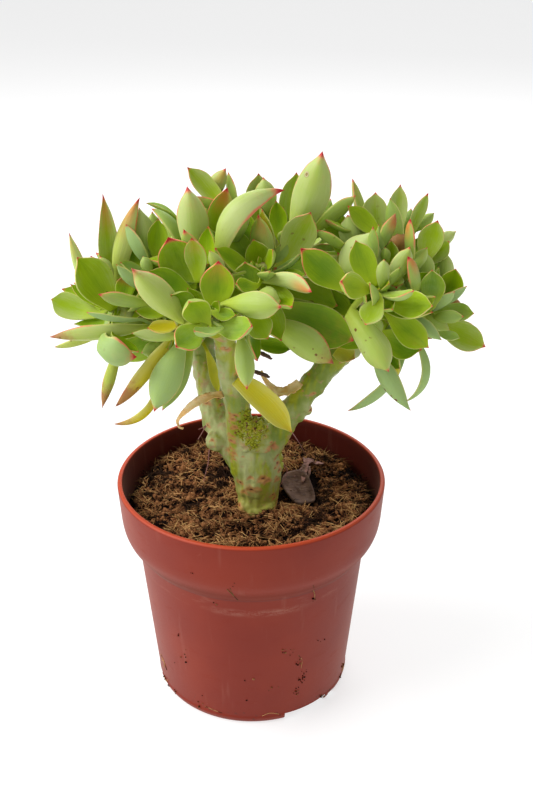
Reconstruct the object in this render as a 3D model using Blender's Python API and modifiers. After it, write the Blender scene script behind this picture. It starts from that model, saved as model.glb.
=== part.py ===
import bmesh
import bpy
import random
from math import cos, pi, radians, sin
from mathutils import Quaternion, Vector, noise
from mathutils.bvhtree import BVHTree

# The layout is written in millimetres about the pot's own axis, with z = 0 on the table.
MM = 0.001

# Pot: a 10.5 cm nursery pot.
RIM_RADIUS = 52.5
POT_HEIGHT = 92.0
LIP_WIDTH = 2.2
COLLAR_RADIUS = 51.0
COLLAR_FOOT = 64.2
BODY_TOP_RADIUS = 45.35
FOOT_RADIUS = 39.4
WALL = 1.4
FLOOR_UNDERSIDE = 3.2
FLOOR_TOP = 4.8
POT_SIDES = 48

# Drainage: three arched notches in the foot and a round hole behind each.
NOTCH_FIRST = radians(-90.0 + 18.6)
NOTCH_SPAN = radians(29.0)
NOTCH_TOOTH = radians(3.2)
NOTCH_STEP = radians(5.8)
NOTCH_HEIGHT = 3.0
NOTCH_COUNT = 3
DRAIN_RADIUS = 2.8
DRAIN_RING = 29.0

# Soil: heaped toward the front, shrunk from the wall at the back and sides.
GAP = 0.3
SOIL_LEVEL = 82.3
SOIL_HEAP = 0.0012
SOIL_SLOPE = 0.02
SOIL_ROUGH = 1.5
SOIL_SECTORS = 32
SOIL_RINGS = (5.5, 11.0, 16.5, 22.0, 27.5, 33.0, 38.5, 43.0, 46.4)
SOIL_SHRINK = 5.5
SOIL_EDGE_LOW = 77.4
SOIL_DEEP = GAP + FLOOR_TOP

# Stem: thick, flattened trunk with three branches.
TRUNK_X = 2.4
TRUNK_Y = -6.5
TRUNK_RADIUS = 7.8
TRUNK_BOTTOM = 62.0

# The upright position is offset so that the box round the whole plant stands centred on zero.
SHIFT_X = -6.5
SHIFT_Y = -1.6

# Reference view, used to place the leaves that show from the front. Distances in millimetres.
VIEW_DISTANCE = 367.8
VIEW_HEIGHT = 307.7
VIEW_PITCH = radians(26.5)
VIEW_YAW = radians(-0.93)
VIEW_FOCUS = 1079.3
VIEW_MIDDLE = (266.5, 400.0)


def from_view(across, down, depth):
    """Point on the sight line through a place in the reference view, at a depth behind the pot axis."""
    a = (across - VIEW_MIDDLE[0]) / VIEW_FOCUS
    b = (VIEW_MIDDLE[1] - down) / VIEW_FOCUS
    forward = cos(VIEW_PITCH) + b * sin(VIEW_PITCH)
    rise = b * cos(VIEW_PITCH) - sin(VIEW_PITCH)
    x = a * cos(VIEW_YAW) - forward * sin(VIEW_YAW)
    y = a * sin(VIEW_YAW) + forward * cos(VIEW_YAW)
    reach = (depth + VIEW_DISTANCE) / y
    return Vector((x * reach, depth, VIEW_HEIGHT + rise * reach))


# Growing points. Each has its head, place in the view, depth, axis, leaf length and leaf count.
rosettes = {
    "left_tip": ("left", 120, 302, -8, (-0.5, -0.4, 0.8), 33, 11),
    "left_crown": ("left", 158, 268, 12, (-0.2, 0.15, 1.0), 33, 12),
    "left_back": ("left", 118, 300, 34, (-0.7, 0.6, 0.5), 31, 10),
    "left_low": ("left", 166, 330, -12, (-0.4, -0.8, 0.2), 30, 5),
    "left_rear": ("left", 172, 272, 42, (-0.1, 0.9, 0.5), 33, 11),
    "mid_front": ("middle", 208, 318, -38, (-0.15, -0.8, 0.6), 17, 7),
    "mid_left": ("middle", 200, 278, -20, (-0.4, -0.5, 0.8), 26, 5),
    "mid_heart": ("middle", 262, 270, -22, (0.15, -0.6, 0.8), 28, 12),
    "mid_crown": ("middle", 212, 240, -4, (-0.1, -0.1, 1.0), 33, 11),
    "mid_tall": ("middle", 286, 232, 6, (0.25, 0.1, 1.0), 33, 11),
    "mid_side": ("middle", 268, 310, -14, (0.75, -0.5, 0.1), 28, 3),
    "mid_rear": ("middle", 232, 250, 38, (-0.1, 0.9, 0.5), 33, 11),
    "mid_flank": ("middle", 304, 262, 30, (0.5, 0.7, 0.5), 32, 11),
    "right_face": ("right", 368, 286, -22, (-0.15, -0.6, 0.8), 27, 12),
    "right_crown": ("right", 390, 250, -2, (0.0, -0.05, 1.0), 28, 11),
    "right_wing": ("right", 436, 292, -8, (0.5, -0.3, 0.8), 27, 11),
    "right_low": ("right", 404, 320, -18, (0.3, -0.8, 0.2), 28, 5),
    "right_rear": ("right", 384, 264, 30, (0.0, 0.9, 0.5), 32, 11),
    "right_back": ("right", 434, 300, 20, (0.7, 0.5, 0.5), 28, 9),
}

# Leaves seen from the front: head, root and tip as across, down and depth in the view, width, bow and
# facing in degrees. At 0 the upper side is toward the viewer, at 90 it lies clockwise of the leaf and at
# 180 the underside is toward the viewer.
shown_leaves = {
    "left_spire": ("left", (108, 287, 2), (102.5, 193, -2), 7.4, 0.03, 12),
    "left_fold": ("left", (117, 286, 0), (140, 197, 4), 8.5, 0.12, 140),
    "left_thin": ("left", (90, 293, 0), (69, 232, 4), 5.0, 0.06, 150),
    "left_broad": ("left", (113, 308, -14), (77, 257, -20), 14.0, 0.08, 10),
    "left_behind": ("left", (112, 287, -6), (100, 256, -4), 5.6, 0.05, 180),
    "left_blunt": ("left", (100, 315, -12), (51, 299, -10), 9.5, 0.08, 15),
    "left_filler": ("left", (105, 309, -11), (70, 284, -10), 5.0, 0.06, 30),
    "left_near": ("left", (150, 304, -20), (98, 294, -30), 6.5, 0.06, 130),
    "left_blotch": ("left", (122, 302, -18), (127, 274, -20), 8.0, 0.06, 0),
    "left_blue_up": ("left", (145, 291, -18), (116, 264, -24), 5.0, 0.06, 140),
    "left_strip": ("left", (152, 277, -8), (120, 262, -12), 5.0, 0.06, 50),
    "left_small": ("left", (151, 274, -10), (143, 256, -10), 4.2, 0.06, 180),
    "left_pale": ("middle", (182, 321, -38), (131, 268, -46), 12.0, 0.06, 170),
    "left_pointer": ("left", (184, 232, 10), (145.5, 203, 6), 5.0, -0.14, 80),
    "left_pointer_low": ("left", (182, 260, 0), (151, 208.5, 2), 8.0, 0.18, -110),
    "left_round": ("left", (148, 272, 4), (139, 207, 4), 10.0, 0.05, 180),
    "left_up": ("left", (158, 264, 0), (158, 218, 2), 7.5, 0.06, 0),
    "left_up_back": ("left", (156, 258, 6), (152, 211, 8), 7.0, 0.05, 160),
    "left_blue_edge": ("left", (150, 266, -4), (126, 224, -2), 7.0, 0.06, 120),
    "left_grey": ("left", (140, 319, -20), (86, 312, -26), 5.0, 0.05, 100),
    "left_green": ("left", (115, 321, -14), (73, 324, -14), 4.5, 0.04, 50),
    "left_long": ("left", (150, 327, -18), (48.5, 337, -20), 7.0, 0.05, 140),
    "left_under": ("left", (102, 333, -6), (54, 347, -4), 5.0, 0.04, 110),
    "left_cup": ("left", (104, 337, -22), (137, 357, -32), 12.0, 0.3, -130),
    "left_cup_in": ("left", (112, 334, -22), (139, 352, -26), 6.0, 0.1, -60),
    "left_hang": ("left", (122, 338, -8), (102, 409, -8), 4.6, 0.03, 165),
    "left_gold": ("left", (174, 334, -16), (115, 407, -26), 9.0, 0.03, 110),
    "left_gold_tip": ("left", (160, 372, -12), (113, 424, -16), 5.2, 0.26, 115),
    "left_bluish": ("left", (183, 342, -20), (154, 412, -32), 11.0, 0.04, 185),
    "left_dark": ("left", (192, 346, -14), (162, 411, -24), 8.0, 0.04, 150),
    "left_lower_pale": ("left", (180, 337, -22), (131, 333, -26), 5.5, 0.05, 140),
    "left_golden": ("left", (180, 324, -24), (147, 328, -30), 5.5, 0.05, 30),
    "left_small_dark": ("left", (165, 315, -22), (135, 311, -24), 5.0, 0.05, 30),
    "left_olive": ("left", (172, 347, -14), (141, 353, -16), 6.4, 0.06, 165),
    "left_inner": ("left", (146, 309, -8), (94, 316, -8), 9.0, 0.06, 10),
    "left_inner_low": ("left", (150, 328, -8), (104, 328, -8), 8.0, 0.06, 20),
    "front_back": ("middle", (215, 312, -36), (218.5, 260.7, -36), 13.0, 0.10, 0),
    "front_back_left": ("middle", (197, 314, -36), (171, 295, -44), 8.5, 0.10, 0),
    "front_left": ("middle", (208, 327, -42), (189, 302, -50), 9.5, 0.14, -10),
    "front_right": ("middle", (216, 328, -42), (252, 325, -52), 8.5, 0.14, -25),
    "front_edge": ("middle", (222, 328, -46), (193.5, 330.5, -56), 5.5, 0.10, 65),
    "front_dark": ("middle", (212, 313, -40), (236, 315, -44), 5.5, 0.10, -25),
    "front_low_left": ("middle", (202, 328, -44), (176, 347, -54), 9.5, 0.10, 10),
    "front_reach": ("middle", (226, 304, -38), (282, 307, -48), 9.2, 0.05, -165),
    "front_round": ("middle", (252, 300, -36), (281, 301, -38), 11.0, 0.08, 165),
    "mid_hang": ("middle", (240, 334, -32), (247, 390, -42), 8.0, 0.06, 170),
    "heart_small": ("middle", (258, 286, -32), (236, 283, -38), 5.5, 0.12, 30),
    "heart_face": ("middle", (250, 294, -26), (245, 262, -28), 10.8, 0.10, 0),
    "heart_left": ("middle", (262, 280, -18), (253, 239, -20), 9.0, 0.08, 0),
    "heart_up": ("middle", (263, 276, -14), (258, 214, -14), 8.2, 0.05, 180),
    "heart_up_side": ("middle", (268, 272, -12), (262, 209, -10), 8.0, 0.06, -30),
    "heart_right_up": ("middle", (284, 262, -14), (311, 212, -16), 12.0, 0.10, 10),
    "heart_blade": ("middle", (268, 273, -20), (302, 252, -22), 5.0, 0.08, -80),
    "heart_blade_up": ("middle", (270, 270, -14), (290, 240, -12), 5.5, 0.08, 180),
    "heart_pink": ("middle", (262, 281, -28), (312, 292.5, -42), 7.2, -0.10, -140),
    "mid_concave": ("middle", (190, 296, -26), (168, 237, -28), 13.5, 0.10, 0),
    "mid_dark_low": ("middle", (196, 300, -30), (146, 272, -34), 9.0, 0.08, 10),
    "mid_upright": ("middle", (196, 266, -12), (187, 186, -10), 11.0, 0.04, 180),
    "mid_left_low": ("middle", (207, 272, -20), (183.5, 229, -26), 6.5, 0.06, 150),
    "mid_slot": ("middle", (198, 282, -28), (191.5, 237.5, -32), 7.5, 0.08, -15),
    "mid_pin": ("middle", (224, 276, -30), (209, 250, -32), 4.8, 0.05, 160),
    "mid_spear": ("middle", (228, 212, -2), (187, 167, 2), 8.0, 0.06, 30),
    "mid_short": ("middle", (206, 205, 6), (226, 168, 6), 6.0, 0.05, 180),
    "mid_slim": ("middle", (240, 220, 6), (228.5, 172, 8), 6.5, 0.05, 110),
    "mid_brown_tip": ("middle", (230, 212, 0), (193, 196, -4), 5.5, 0.05, 130),
    "mid_dark_tip": ("middle", (212, 250, -8), (227.5, 187, -8), 9.0, 0.05, 20),
    "mid_arch": ("middle", (222, 264, -18), (285, 190, -14), 12.0, 0.33, 130),
    "tall_left_a": ("middle", (258, 222, 10), (258.5, 173, 10), 10.0, 0.06, 0),
    "tall_left_b": ("middle", (270, 218, 8), (263.5, 177, 8), 8.0, 0.06, 180),
    "tall_leaf": ("middle", (294, 240, -4), (322.5, 151, -6), 14.0, 0.03, 180),
    "tall_behind": ("middle", (287, 238, 4), (296.5, 172, 6), 10.5, 0.06, 0),
    "tall_inner": ("middle", (282, 244, -2), (276, 200, 0), 6.5, 0.08, 0),
    "tall_right": ("middle", (312, 232, 2), (356, 195, 2), 7.5, 0.05, -130),
    "tall_right_stub": ("middle", (318, 228, 8), (331, 198.5, 10), 5.0, 0.05, 180),
    "side_dark": ("middle", (270, 306, -16), (354, 341, -24), 14.5, 0.04, 0),
    "side_red": ("middle", (270, 320, -22), (334, 364, -32), 11.5, 0.03, -160),
    "side_small": ("middle", (250, 312, -30), (268, 339, -38), 9.0, 0.08, 0),
    "side_short": ("middle", (248, 339, -18), (292, 349, -14), 6.5, 0.04, -30),
    "side_band": ("middle", (282, 296, -10), (331, 311, -14), 6.0, 0.05, -110),
    "side_back": ("middle", (282, 284, -4), (338, 306, -8), 13.0, 0.05, 0),
    "right_hollow": ("right", (349, 289, -22), (300.7, 248, -30), 13.5, 0.10, 0),
    "right_big_pale": ("right", (345, 286, -16), (373, 231, -14), 15.0, 0.06, 180),
    "right_back_pale": ("right", (360, 256, -4), (347.5, 214.5, -4), 9.5, 0.05, 180),
    "right_face_up": ("right", (374, 287, -26), (355.5, 240, -26), 9.0, 0.08, 0),
    "right_pin": ("right", (374, 270, -18), (373, 226, -18), 4.5, 0.04, 150),
    "right_pin_back": ("right", (380, 264, -14), (378.5, 224, -14), 4.0, 0.04, 180),
    "right_oval": ("right", (369, 290, -34), (341, 281, -42), 9.0, 0.10, 20),
    "right_small_oval": ("right", (381, 290, -26), (384, 259, -28), 4.8, 0.06, 180),
    "right_mid_small": ("right", (392, 272, -14), (391, 240, -14), 5.5, 0.08, -20),
    "right_bud": ("right", (387, 264, -16), (385, 247, -18), 3.5, 0.06, 180),
    "right_inner": ("right", (390, 284, -20), (410, 246.5, -22), 7.5, 0.06, -150),
    "right_inner_low": ("right", (386, 287, -22), (400, 267, -24), 4.5, 0.06, -120),
    "right_edge_up": ("right", (371, 309, -32), (369, 283, -36), 5.0, 0.16, -100),
    "right_oval_low": ("right", (381, 299, -34), (365, 325, -40), 8.5, 0.08, 20),
    "right_edge": ("right", (378, 293, -28), (414, 290, -40), 6.0, 0.12, -70),
    "right_fold": ("right", (388, 303, -26), (433, 306, -38), 9.5, 0.06, -10),
    "right_slab": ("right", (388, 313, -24), (429, 348, -34), 9.8, 0.05, 0),
    "right_bluish": ("right", (408, 313, -20), (442, 340.5, -28), 5.5, 0.04, -150),
    "right_brown_low": ("right", (412, 322, -16), (432, 339, -22), 4.5, 0.04, 180),
    "right_far_tip": ("right", (437, 324, -12), (485.7, 347, -18), 10.5, 0.06, -20),
    "right_far_small": ("right", (438, 333, -20), (460, 338, -26), 4.0, 0.06, -30),
    "right_far_thin": ("right", (440, 320, -8), (477, 328, -12), 4.5, 0.05, -150),
    "right_far_mid": ("right", (436, 312, -10), (474.5, 313.5, -16), 7.0, 0.08, -20),
    "right_far_in": ("right", (432, 318, -16), (464, 316.5, -22), 5.0, 0.06, -160),
    "right_blue_wing": ("right", (436, 308, -10), (467.5, 285.5, -14), 4.8, 0.06, -130),
    "right_blue_in": ("right", (432, 311, -14), (455, 291, -20), 4.8, 0.06, -140),
    "right_brown_end": ("right", (440, 300, 0), (463, 308, -2), 5.0, 0.05, -150),
    "right_wing_up": ("right", (446, 303, -10), (455.5, 268.5, -12), 8.8, 0.10, -10),
    "right_wing_in": ("right", (432, 307, -18), (432, 269.5, -20), 8.8, 0.10, 0),
    "right_wing_tri": ("right", (444, 292, -2), (446.5, 252, 0), 6.5, 0.06, 180),
    "right_wing_back": ("right", (426, 252, 4), (456.5, 231, 6), 5.0, 0.05, -160),
    "right_wing_b": ("right", (424, 264, 0), (449.5, 241, 0), 7.5, 0.08, -20),
    "right_crown_a": ("right", (424, 264, -6), (438, 220, -6), 9.0, 0.10, 0),
    "right_crown_a2": ("right", (412, 232, 4), (434.5, 212.5, 6), 4.2, 0.05, 170),
    "right_crown_b": ("right", (408, 240, 0), (428.5, 192.5, 2), 5.2, 0.06, 30),
    "right_crown_round": ("right", (408, 242, 6), (411, 208, 8), 6.5, 0.06, 180),
    "right_crown_c": ("right", (397, 242, 0), (400.5, 184, 2), 7.0, 0.06, 0),
    "right_crown_c2": ("right", (401, 248, -6), (390, 197.5, -4), 6.5, 0.06, 150),
    "right_crown_d": ("right", (376, 242, 2), (375.5, 192, 4), 9.0, 0.06, 0),
    "right_crown_e": ("right", (374, 242, 4), (352.5, 178, 8), 6.0, 0.05, 60),
    "right_crown_f": ("right", (380, 236, -6), (347.5, 205.5, -6), 7.2, 0.08, 20),
    "right_crown_g": ("right", (378, 252, -12), (395.5, 213, -14), 6.5, 0.05, -130),
    "right_crown_h": ("right", (412, 262, -12), (410.5, 218.5, -16), 7.0, 0.05, 110),
    "right_crown_i": ("right", (415, 296, -20), (407.5, 256, -28), 7.0, 0.06, -110),
    "right_crown_j": ("right", (408, 278, -12), (427.5, 247, -14), 5.0, 0.06, -160),
    "right_tri": ("right", (428, 288, -10), (426, 252, -8), 6.0, 0.06, 180),
    "right_old": ("right", (399, 256, -8), (397, 231, -6), 9.0, 0.05, 180),
    "right_dark_mid": ("right", (418, 290, -16), (428.5, 272, -16), 6.0, 0.08, 0),
    "right_left_tip": ("right", (356, 232, -4), (325, 219.5, -8), 5.5, 0.05, 80),
    "right_left_low": ("right", (347, 248, -10), (315.5, 229.5, -14), 6.0, 0.05, 115),
    "right_hang": ("right", (350, 313, -28), (389, 372, -40), 12.0, 0.06, 180),
    "right_dark": ("right", (382, 334, -20), (422, 350, -28), 11.5, 0.06, 10),
    "right_dark_low": ("right", (378, 345, -18), (400, 369, -26), 7.0, 0.05, 20),
    "right_drop": ("right", (374, 350, -22), (411, 411, -30), 8.0, 0.12, -150),
    "right_hook": ("right", (415, 338, -16), (405, 402, -16), 6.0, 0.24, 110),
    "right_hook_far": ("right", (406, 348, -12), (347, 411, -16), 6.0, 0.14, 110),
    "right_yellow_low": ("right", (398, 358, -18), (393, 381, -18), 4.0, 0.04, 180),
    "right_under_small": ("right", (372, 312, -26), (376, 338, -30), 6.0, 0.06, 180),
    "right_low_pale": ("right", (424, 316, -16), (450, 331, -18), 4.5, 0.05, 180),
}

# Outline of the foliage in the view, which the leaves placed by rule keep within.
outline = (
    (49, 300), (60, 284), (72, 270), (66, 232), (88, 256), (96, 226), (102, 192), (113, 226), (138, 196),
    (180, 206), (187, 184), (194, 196), (204, 198), (187, 167), (212, 178), (226, 168), (229, 172),
    (240, 191), (258, 172), (272, 184), (281, 186), (297, 171), (300, 180), (322, 150), (329, 190),
    (350, 195), (352, 178), (366, 204), (375, 191), (388, 202), (400, 184), (405, 214), (414, 208),
    (428, 192), (425, 214), (434, 213), (440, 230), (456, 231), (446, 242), (440, 256), (447, 252),
    (449, 268), (456, 268), (461, 286), (467, 286), (457, 300), (474, 313), (466, 324), (486, 347),
    (470, 353), (442, 342), (420, 350), (392, 366), (350, 350), (334, 363), (300, 357), (283, 350),
    (247, 388), (236, 350), (220, 336), (196, 372), (154, 412), (115, 407), (100, 404), (112, 366),
    (100, 352), (54, 347), (49, 337), (73, 326), (84, 314),
)

# The space that each head fills: middle and half sizes in millimetres.
head_space = {
    "left": ((-36, 12, 166), (39, 50, 40)),
    "middle": ((0, 6, 180), (40, 56, 36)),
    "right": ((56, 4, 168), (35, 46, 36)),
}

# The branches and the stub, as stations of across, down and depth in the view, and radius.
# Each head starts where its branch ends.
branches = {
    "left": (
        (243, 458, -5, 6.6), (226, 434, -1, 5.8), (215, 416, 3, 5.2), (211, 396, 7, 5.1),
        (207, 372, 10, 4.9), (203, 352, 12, 4.8),
    ),
    "middle": (
        (247, 458, -8, 6.2), (240, 432, -9, 5.0), (237, 404, -11, 4.7), (231, 380, -13, 4.2),
        (227, 356, -15, 4.0), (225, 340, -17, 3.9),
    ),
    "right": (
        (256, 458, -5, 8.0), (274, 432, -5, 6.2), (297, 403, -4, 4.7), (326, 368, -3, 4.5), (342, 353, -2, 4.5),
    ),
}
stub = ((234, 443, -3, 4.4), (222, 443, -4, 3.6), (214, 443, -5, 2.8))


EYE = Vector((0.0, -VIEW_DISTANCE, VIEW_HEIGHT))


def to_view(place):
    """Across and down in the reference view."""
    x, y, z = place - EYE
    side = x * cos(VIEW_YAW) + y * sin(VIEW_YAW)
    level = y * cos(VIEW_YAW) - x * sin(VIEW_YAW)
    away = level * cos(VIEW_PITCH) - z * sin(VIEW_PITCH)
    rise = level * sin(VIEW_PITCH) + z * cos(VIEW_PITCH)
    return VIEW_MIDDLE[0] + VIEW_FOCUS * side / away, VIEW_MIDDLE[1] - VIEW_FOCUS * rise / away


def in_outline(place):
    """Whether a place shows within the foliage's outline in the reference view."""
    across, down = to_view(place)
    within = False
    for (x, y), (next_x, next_y) in zip(outline, outline[1:] + outline[:1]):
        if (y > down) != (next_y > down) and across < x + (down - y) * (next_x - x) / (next_y - y):
            within = not within
    return within


def vec(values):
    return Vector([float(value) for value in values])


def material(name, colour, roughness):
    made = bpy.data.materials.new(name)
    made.use_nodes = True
    shader = made.node_tree.nodes["Principled BSDF"]
    shader.inputs["Base Color"].default_value = (*colour, 1.0)
    shader.inputs["Roughness"].default_value = roughness
    return made


def add_mesh(name, points, faces, home, finish=None, smooth=False):
    """Mesh object from points in millimetres about the pot axis."""
    data = bpy.data.meshes.new(name)
    moved = [((p[0] + SHIFT_X) * MM, (p[1] + SHIFT_Y) * MM, p[2] * MM) for p in points]
    data.from_pydata(moved, [], faces)
    data.update()
    made = bpy.data.objects.new(name, data)
    home.objects.link(made)
    if finish:
        data.materials.append(finish)
    for face in data.polygons:
        face.use_smooth = smooth
    return made


def bake(thing):
    """Replace an object's mesh by its evaluated one and drop the modifiers."""
    bpy.context.view_layer.update()
    graph = bpy.context.evaluated_depsgraph_get()
    finished = bpy.data.meshes.new_from_object(thing.evaluated_get(graph))
    thing.modifiers.clear()
    thing.data = finished
    return thing


def boolean(thing, mode, other=None, group=None, solver="EXACT"):
    step = thing.modifiers.new(mode.title(), "BOOLEAN")
    step.operation = mode
    step.solver = solver
    if group:
        step.operand_type = "COLLECTION"
        step.collection = group
    else:
        step.object = other
    return step


def keep_main_body(thing):
    """Drop scraps and sealed hollows, which are every shell but the largest."""
    work = bmesh.new()
    work.from_mesh(thing.data)
    work.verts.ensure_lookup_table()
    seen = set()
    shells = []
    for start in work.verts:
        if start in seen:
            continue
        seen.add(start)
        shell = [start]
        for point in shell:
            for edge in point.link_edges:
                far = edge.other_vert(point)
                if far not in seen:
                    seen.add(far)
                    shell.append(far)
        shells.append(shell)
    shells.sort(key=len)
    for shell in shells[:-1]:
        bmesh.ops.delete(work, geom=shell, context="VERTS")
    work.to_mesh(thing.data)
    work.free()
    thing.data.update()


def fuse(thing, others, solver="MANIFOLD"):
    """Join other objects to a thing by one union and remove them."""
    group = bpy.data.collections.new(thing.name + "_parts")
    bpy.context.scene.collection.children.link(group)
    for other in others:
        for home in list(other.users_collection):
            home.objects.unlink(other)
        group.objects.link(other)
    boolean(thing, "UNION", group=group, solver=solver)
    bake(thing)
    for other in others:
        bpy.data.objects.remove(other)
    bpy.data.collections.remove(group)
    keep_main_body(thing)
    return thing


def ring_faces(rings, sides, first_cap=True, last_point=False):
    """Triangles over stacked rings of equal point count, capped at the start and closed at the end."""
    faces = []
    if first_cap:
        faces += [(0, i + 1, i) for i in range(1, sides - 1)]
    for ring in range(rings - 1):
        low = ring * sides
        for i in range(sides):
            j = (i + 1) % sides
            faces.append((low + i, low + j, low + sides + j))
            faces.append((low + i, low + sides + j, low + sides + i))
    top = (rings - 1) * sides
    if last_point:
        faces += [(top + i, top + (i + 1) % sides, top + sides) for i in range(sides)]
    else:
        faces += [(top, top + i, top + i + 1) for i in range(1, sides - 1)]
    return faces


def tube(stations, sides=10, flat=1.0, turn=0.0):
    """Tube through stations of (place, radius), each ring square to the path there."""
    points = []
    places = [vec(place) for place, radius in stations]
    count = len(stations)
    guide = Vector((1.0, 0.0, 0.0))
    for k, (place, radius) in enumerate(stations):
        ahead = places[min(k + 1, count - 1)] - places[max(k - 1, 0)]
        ahead.normalize()
        across = guide - ahead * guide.dot(ahead)
        across.normalize()
        square = ahead.cross(across)
        for i in range(sides):
            angle = turn + 2 * pi * i / sides
            points.append(places[k] + across * (radius * cos(angle)) + square * (radius * flat * sin(angle)))
    return points, ring_faces(count, sides)


def leaf_frame(leaf, s):
    """Place, upper normal and side direction on a leaf's midline, s from 0 at the root to 1."""
    along = leaf["tip"] - leaf["root"]
    length = along.length
    heading = along / length
    upper = leaf["up"] - heading * leaf["up"].dot(heading)
    upper.normalize()
    upper.rotate(Quaternion(heading, radians(leaf["roll"])))
    sag = 4 * leaf["bow"] * length
    place = leaf["root"] + along * s - upper * (sag * s * (1 - s))
    heading = along - upper * (sag * (1 - 2 * s))
    heading.normalize()
    normal = upper - heading * upper.dot(heading)
    normal.normalize()
    return place, normal, heading.cross(normal)


# Along a leaf: distance from the root, width and thickness as shares of the largest.
LEAF_RINGS = ((0.0, 0.32, 0.6), (0.3, 0.78, 1.0), (0.6, 1.0, 0.95), (0.86, 0.6, 0.6))
SMALL_LEAF_RINGS = ((0.0, 0.3, 0.6), (0.52, 1.0, 1.0), (0.85, 0.62, 0.6))
LEAF_THICKNESS = 0.36

# Share of a fused head's faces that is kept, so that slivers along the seams go.
HEAD_SHARE = 0.68


def leaf_mesh(leaf, first=0):
    """Closed leaf, flat above and keeled below, from its stalk or one of its rings to the tip."""
    points = []
    broad = leaf["name"] in shown_leaves and leaf["width"] > 5.0
    rings = LEAF_RINGS[first:] if broad else SMALL_LEAF_RINGS[first:]
    if first == 0 and "anchor" in leaf:
        along = (leaf["root"] - leaf["anchor"]).normalized()
        side = leaf_frame(leaf, 0.0)[2]
        side = (side - along * side.dot(along)).normalized()
        normal = side.cross(along)
        half = max(0.8, leaf["width"] * 0.12)
        points += [leaf["anchor"] + side * half + normal * (half * 0.5), leaf["anchor"] - normal * (half * 0.9)]
        points.append(leaf["anchor"] - side * half + normal * (half * 0.5))
    for s, wide, thick in rings:
        place, normal, side = leaf_frame(leaf, s)
        half = leaf["width"] * wide / 2
        deep = leaf["width"] * LEAF_THICKNESS * thick
        points.append(place + side * half + normal * (deep * 0.35))
        points.append(place - normal * (deep * 0.62))
        points.append(place - side * half + normal * (deep * 0.35))
    points.append(leaf_frame(leaf, 1.0)[0])
    return points, ring_faces(len(points) // 3, 3, last_point=True)


def rosette_frame(name):
    head, across, down, depth, axis, length, count = rosettes[name]
    heading = vec(axis)
    heading.normalize()
    return head, from_view(across, down, depth), heading, length, count


def shown_leaf(name):
    head, root_spot, tip_spot, width, bow, facing = shown_leaves[name]
    root = from_view(*root_spot)
    tip = from_view(*tip_spot)
    heading = (tip - root).normalized()
    toward = EYE - (root + tip) / 2
    upper = (toward - heading * toward.dot(heading)).normalized()
    upper.rotate(Quaternion(heading, radians(facing)))
    leaf = dict(name=name, head=head, root=root, tip=tip, up=upper, width=width, bow=bow, roll=0.0)
    distance, anchor, radius = stalk_start(head, root, heading)
    if distance > radius * 0.6:
        leaf["anchor"] = anchor
    return leaf


def aimed_leaf(rosette, angle, lean, length, width, drop, bow):
    """Leaf by its turn round the rosette's axis and its lean away from that axis."""
    head, centre, heading, longest, count = rosette_frame(rosette)
    first = heading.orthogonal()
    first.normalize()
    second = heading.cross(first)
    outward = first * cos(angle) + second * sin(angle)
    way = heading * cos(lean) + outward * sin(lean)
    root = centre - heading * drop + outward * 0.8
    tip = root + way * length
    return dict(name=rosette, head=head, root=root, tip=tip, up=heading, width=width, bow=bow, roll=0.0)


def inside(head, place):
    middle, half = head_space[head]
    return sum(((place[i] - middle[i]) / half[i]) ** 2 for i in range(3)) < 1.0


def tree(points, faces):
    return BVHTree.FromPolygons(points, faces, all_triangles=True, epsilon=0.45)


class Growth:
    """Leaves accepted so far, with what they must stay clear of and what they must leave in sight."""

    def __init__(self, fixed):
        self.leaves = []
        self.fixed = fixed
        self.shapes = []
        self.sights = []

    def watch(self, leaf):
        """Keep the sight lines to a leaf's blade free."""
        for s, across in ((0.3, 0.0), (0.55, -0.3), (0.55, 0.3), (0.8, -0.2), (0.8, 0.2), (0.96, 0.0)):
            place, normal, side = leaf_frame(leaf, s)
            spot = place + side * (across * leaf["width"])
            self.sights.append((spot, (EYE - spot).normalized()))

    def hides(self, leaf, whole):
        """Whether a leaf would stand before one that has to show."""
        middle = (leaf["root"] + leaf["tip"]) / 2
        reach = (leaf["root"] - leaf["tip"]).length / 2 + leaf["width"] / 2
        for spot, way in self.sights:
            away = middle - spot
            along = away.dot(way)
            if along > -reach and (away - way * along).length < reach and whole.ray_cast(spot, way)[0]:
                return True
        return False

    def clear(self, leaf):
        points, faces = leaf_mesh(leaf)
        whole = tree(points, faces)
        outer = tree(*leaf_mesh(leaf, 1))
        middle = (leaf["root"] + leaf["tip"]) / 2
        reach = max((point - middle).length for point in points)
        for owner, shape in self.fixed:
            if owner != leaf["head"] and whole.overlap(shape):
                return None
        for head, other_middle, other_reach, other_whole, other_outer in self.shapes:
            if (other_middle - middle).length > reach + other_reach:
                continue
            if head != leaf["head"]:
                if whole.overlap(other_whole):
                    return None
            elif outer.overlap(other_outer):
                return None
        if self.hides(leaf, whole):
            return None
        return (leaf["head"], middle, reach, whole, outer)

    def add(self, leaf, shape=None):
        if shape is None:
            points, faces = leaf_mesh(leaf)
            middle = (leaf["root"] + leaf["tip"]) / 2
            reach = max((point - middle).length for point in points)
            shape = (leaf["head"], middle, reach, tree(points, faces), tree(*leaf_mesh(leaf, 1)))
        self.leaves.append(leaf)
        self.shapes.append(shape)


# What a rule-placed leaf tries in turn: change of turn and lean in degrees, and of length.
TRIES = (
    (0, 0, 1.0), (14, 0, 1.0), (-14, 0, 1.0), (0, -12, 1.0), (0, 12, 1.0), (26, 0, 0.9), (-26, 0, 0.9),
    (12, -16, 0.85), (-12, -16, 0.85), (12, 16, 0.85), (-12, 16, 0.85), (0, 0, 0.7), (20, 0, 0.65), (-20, 0, 0.65),
)


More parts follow.
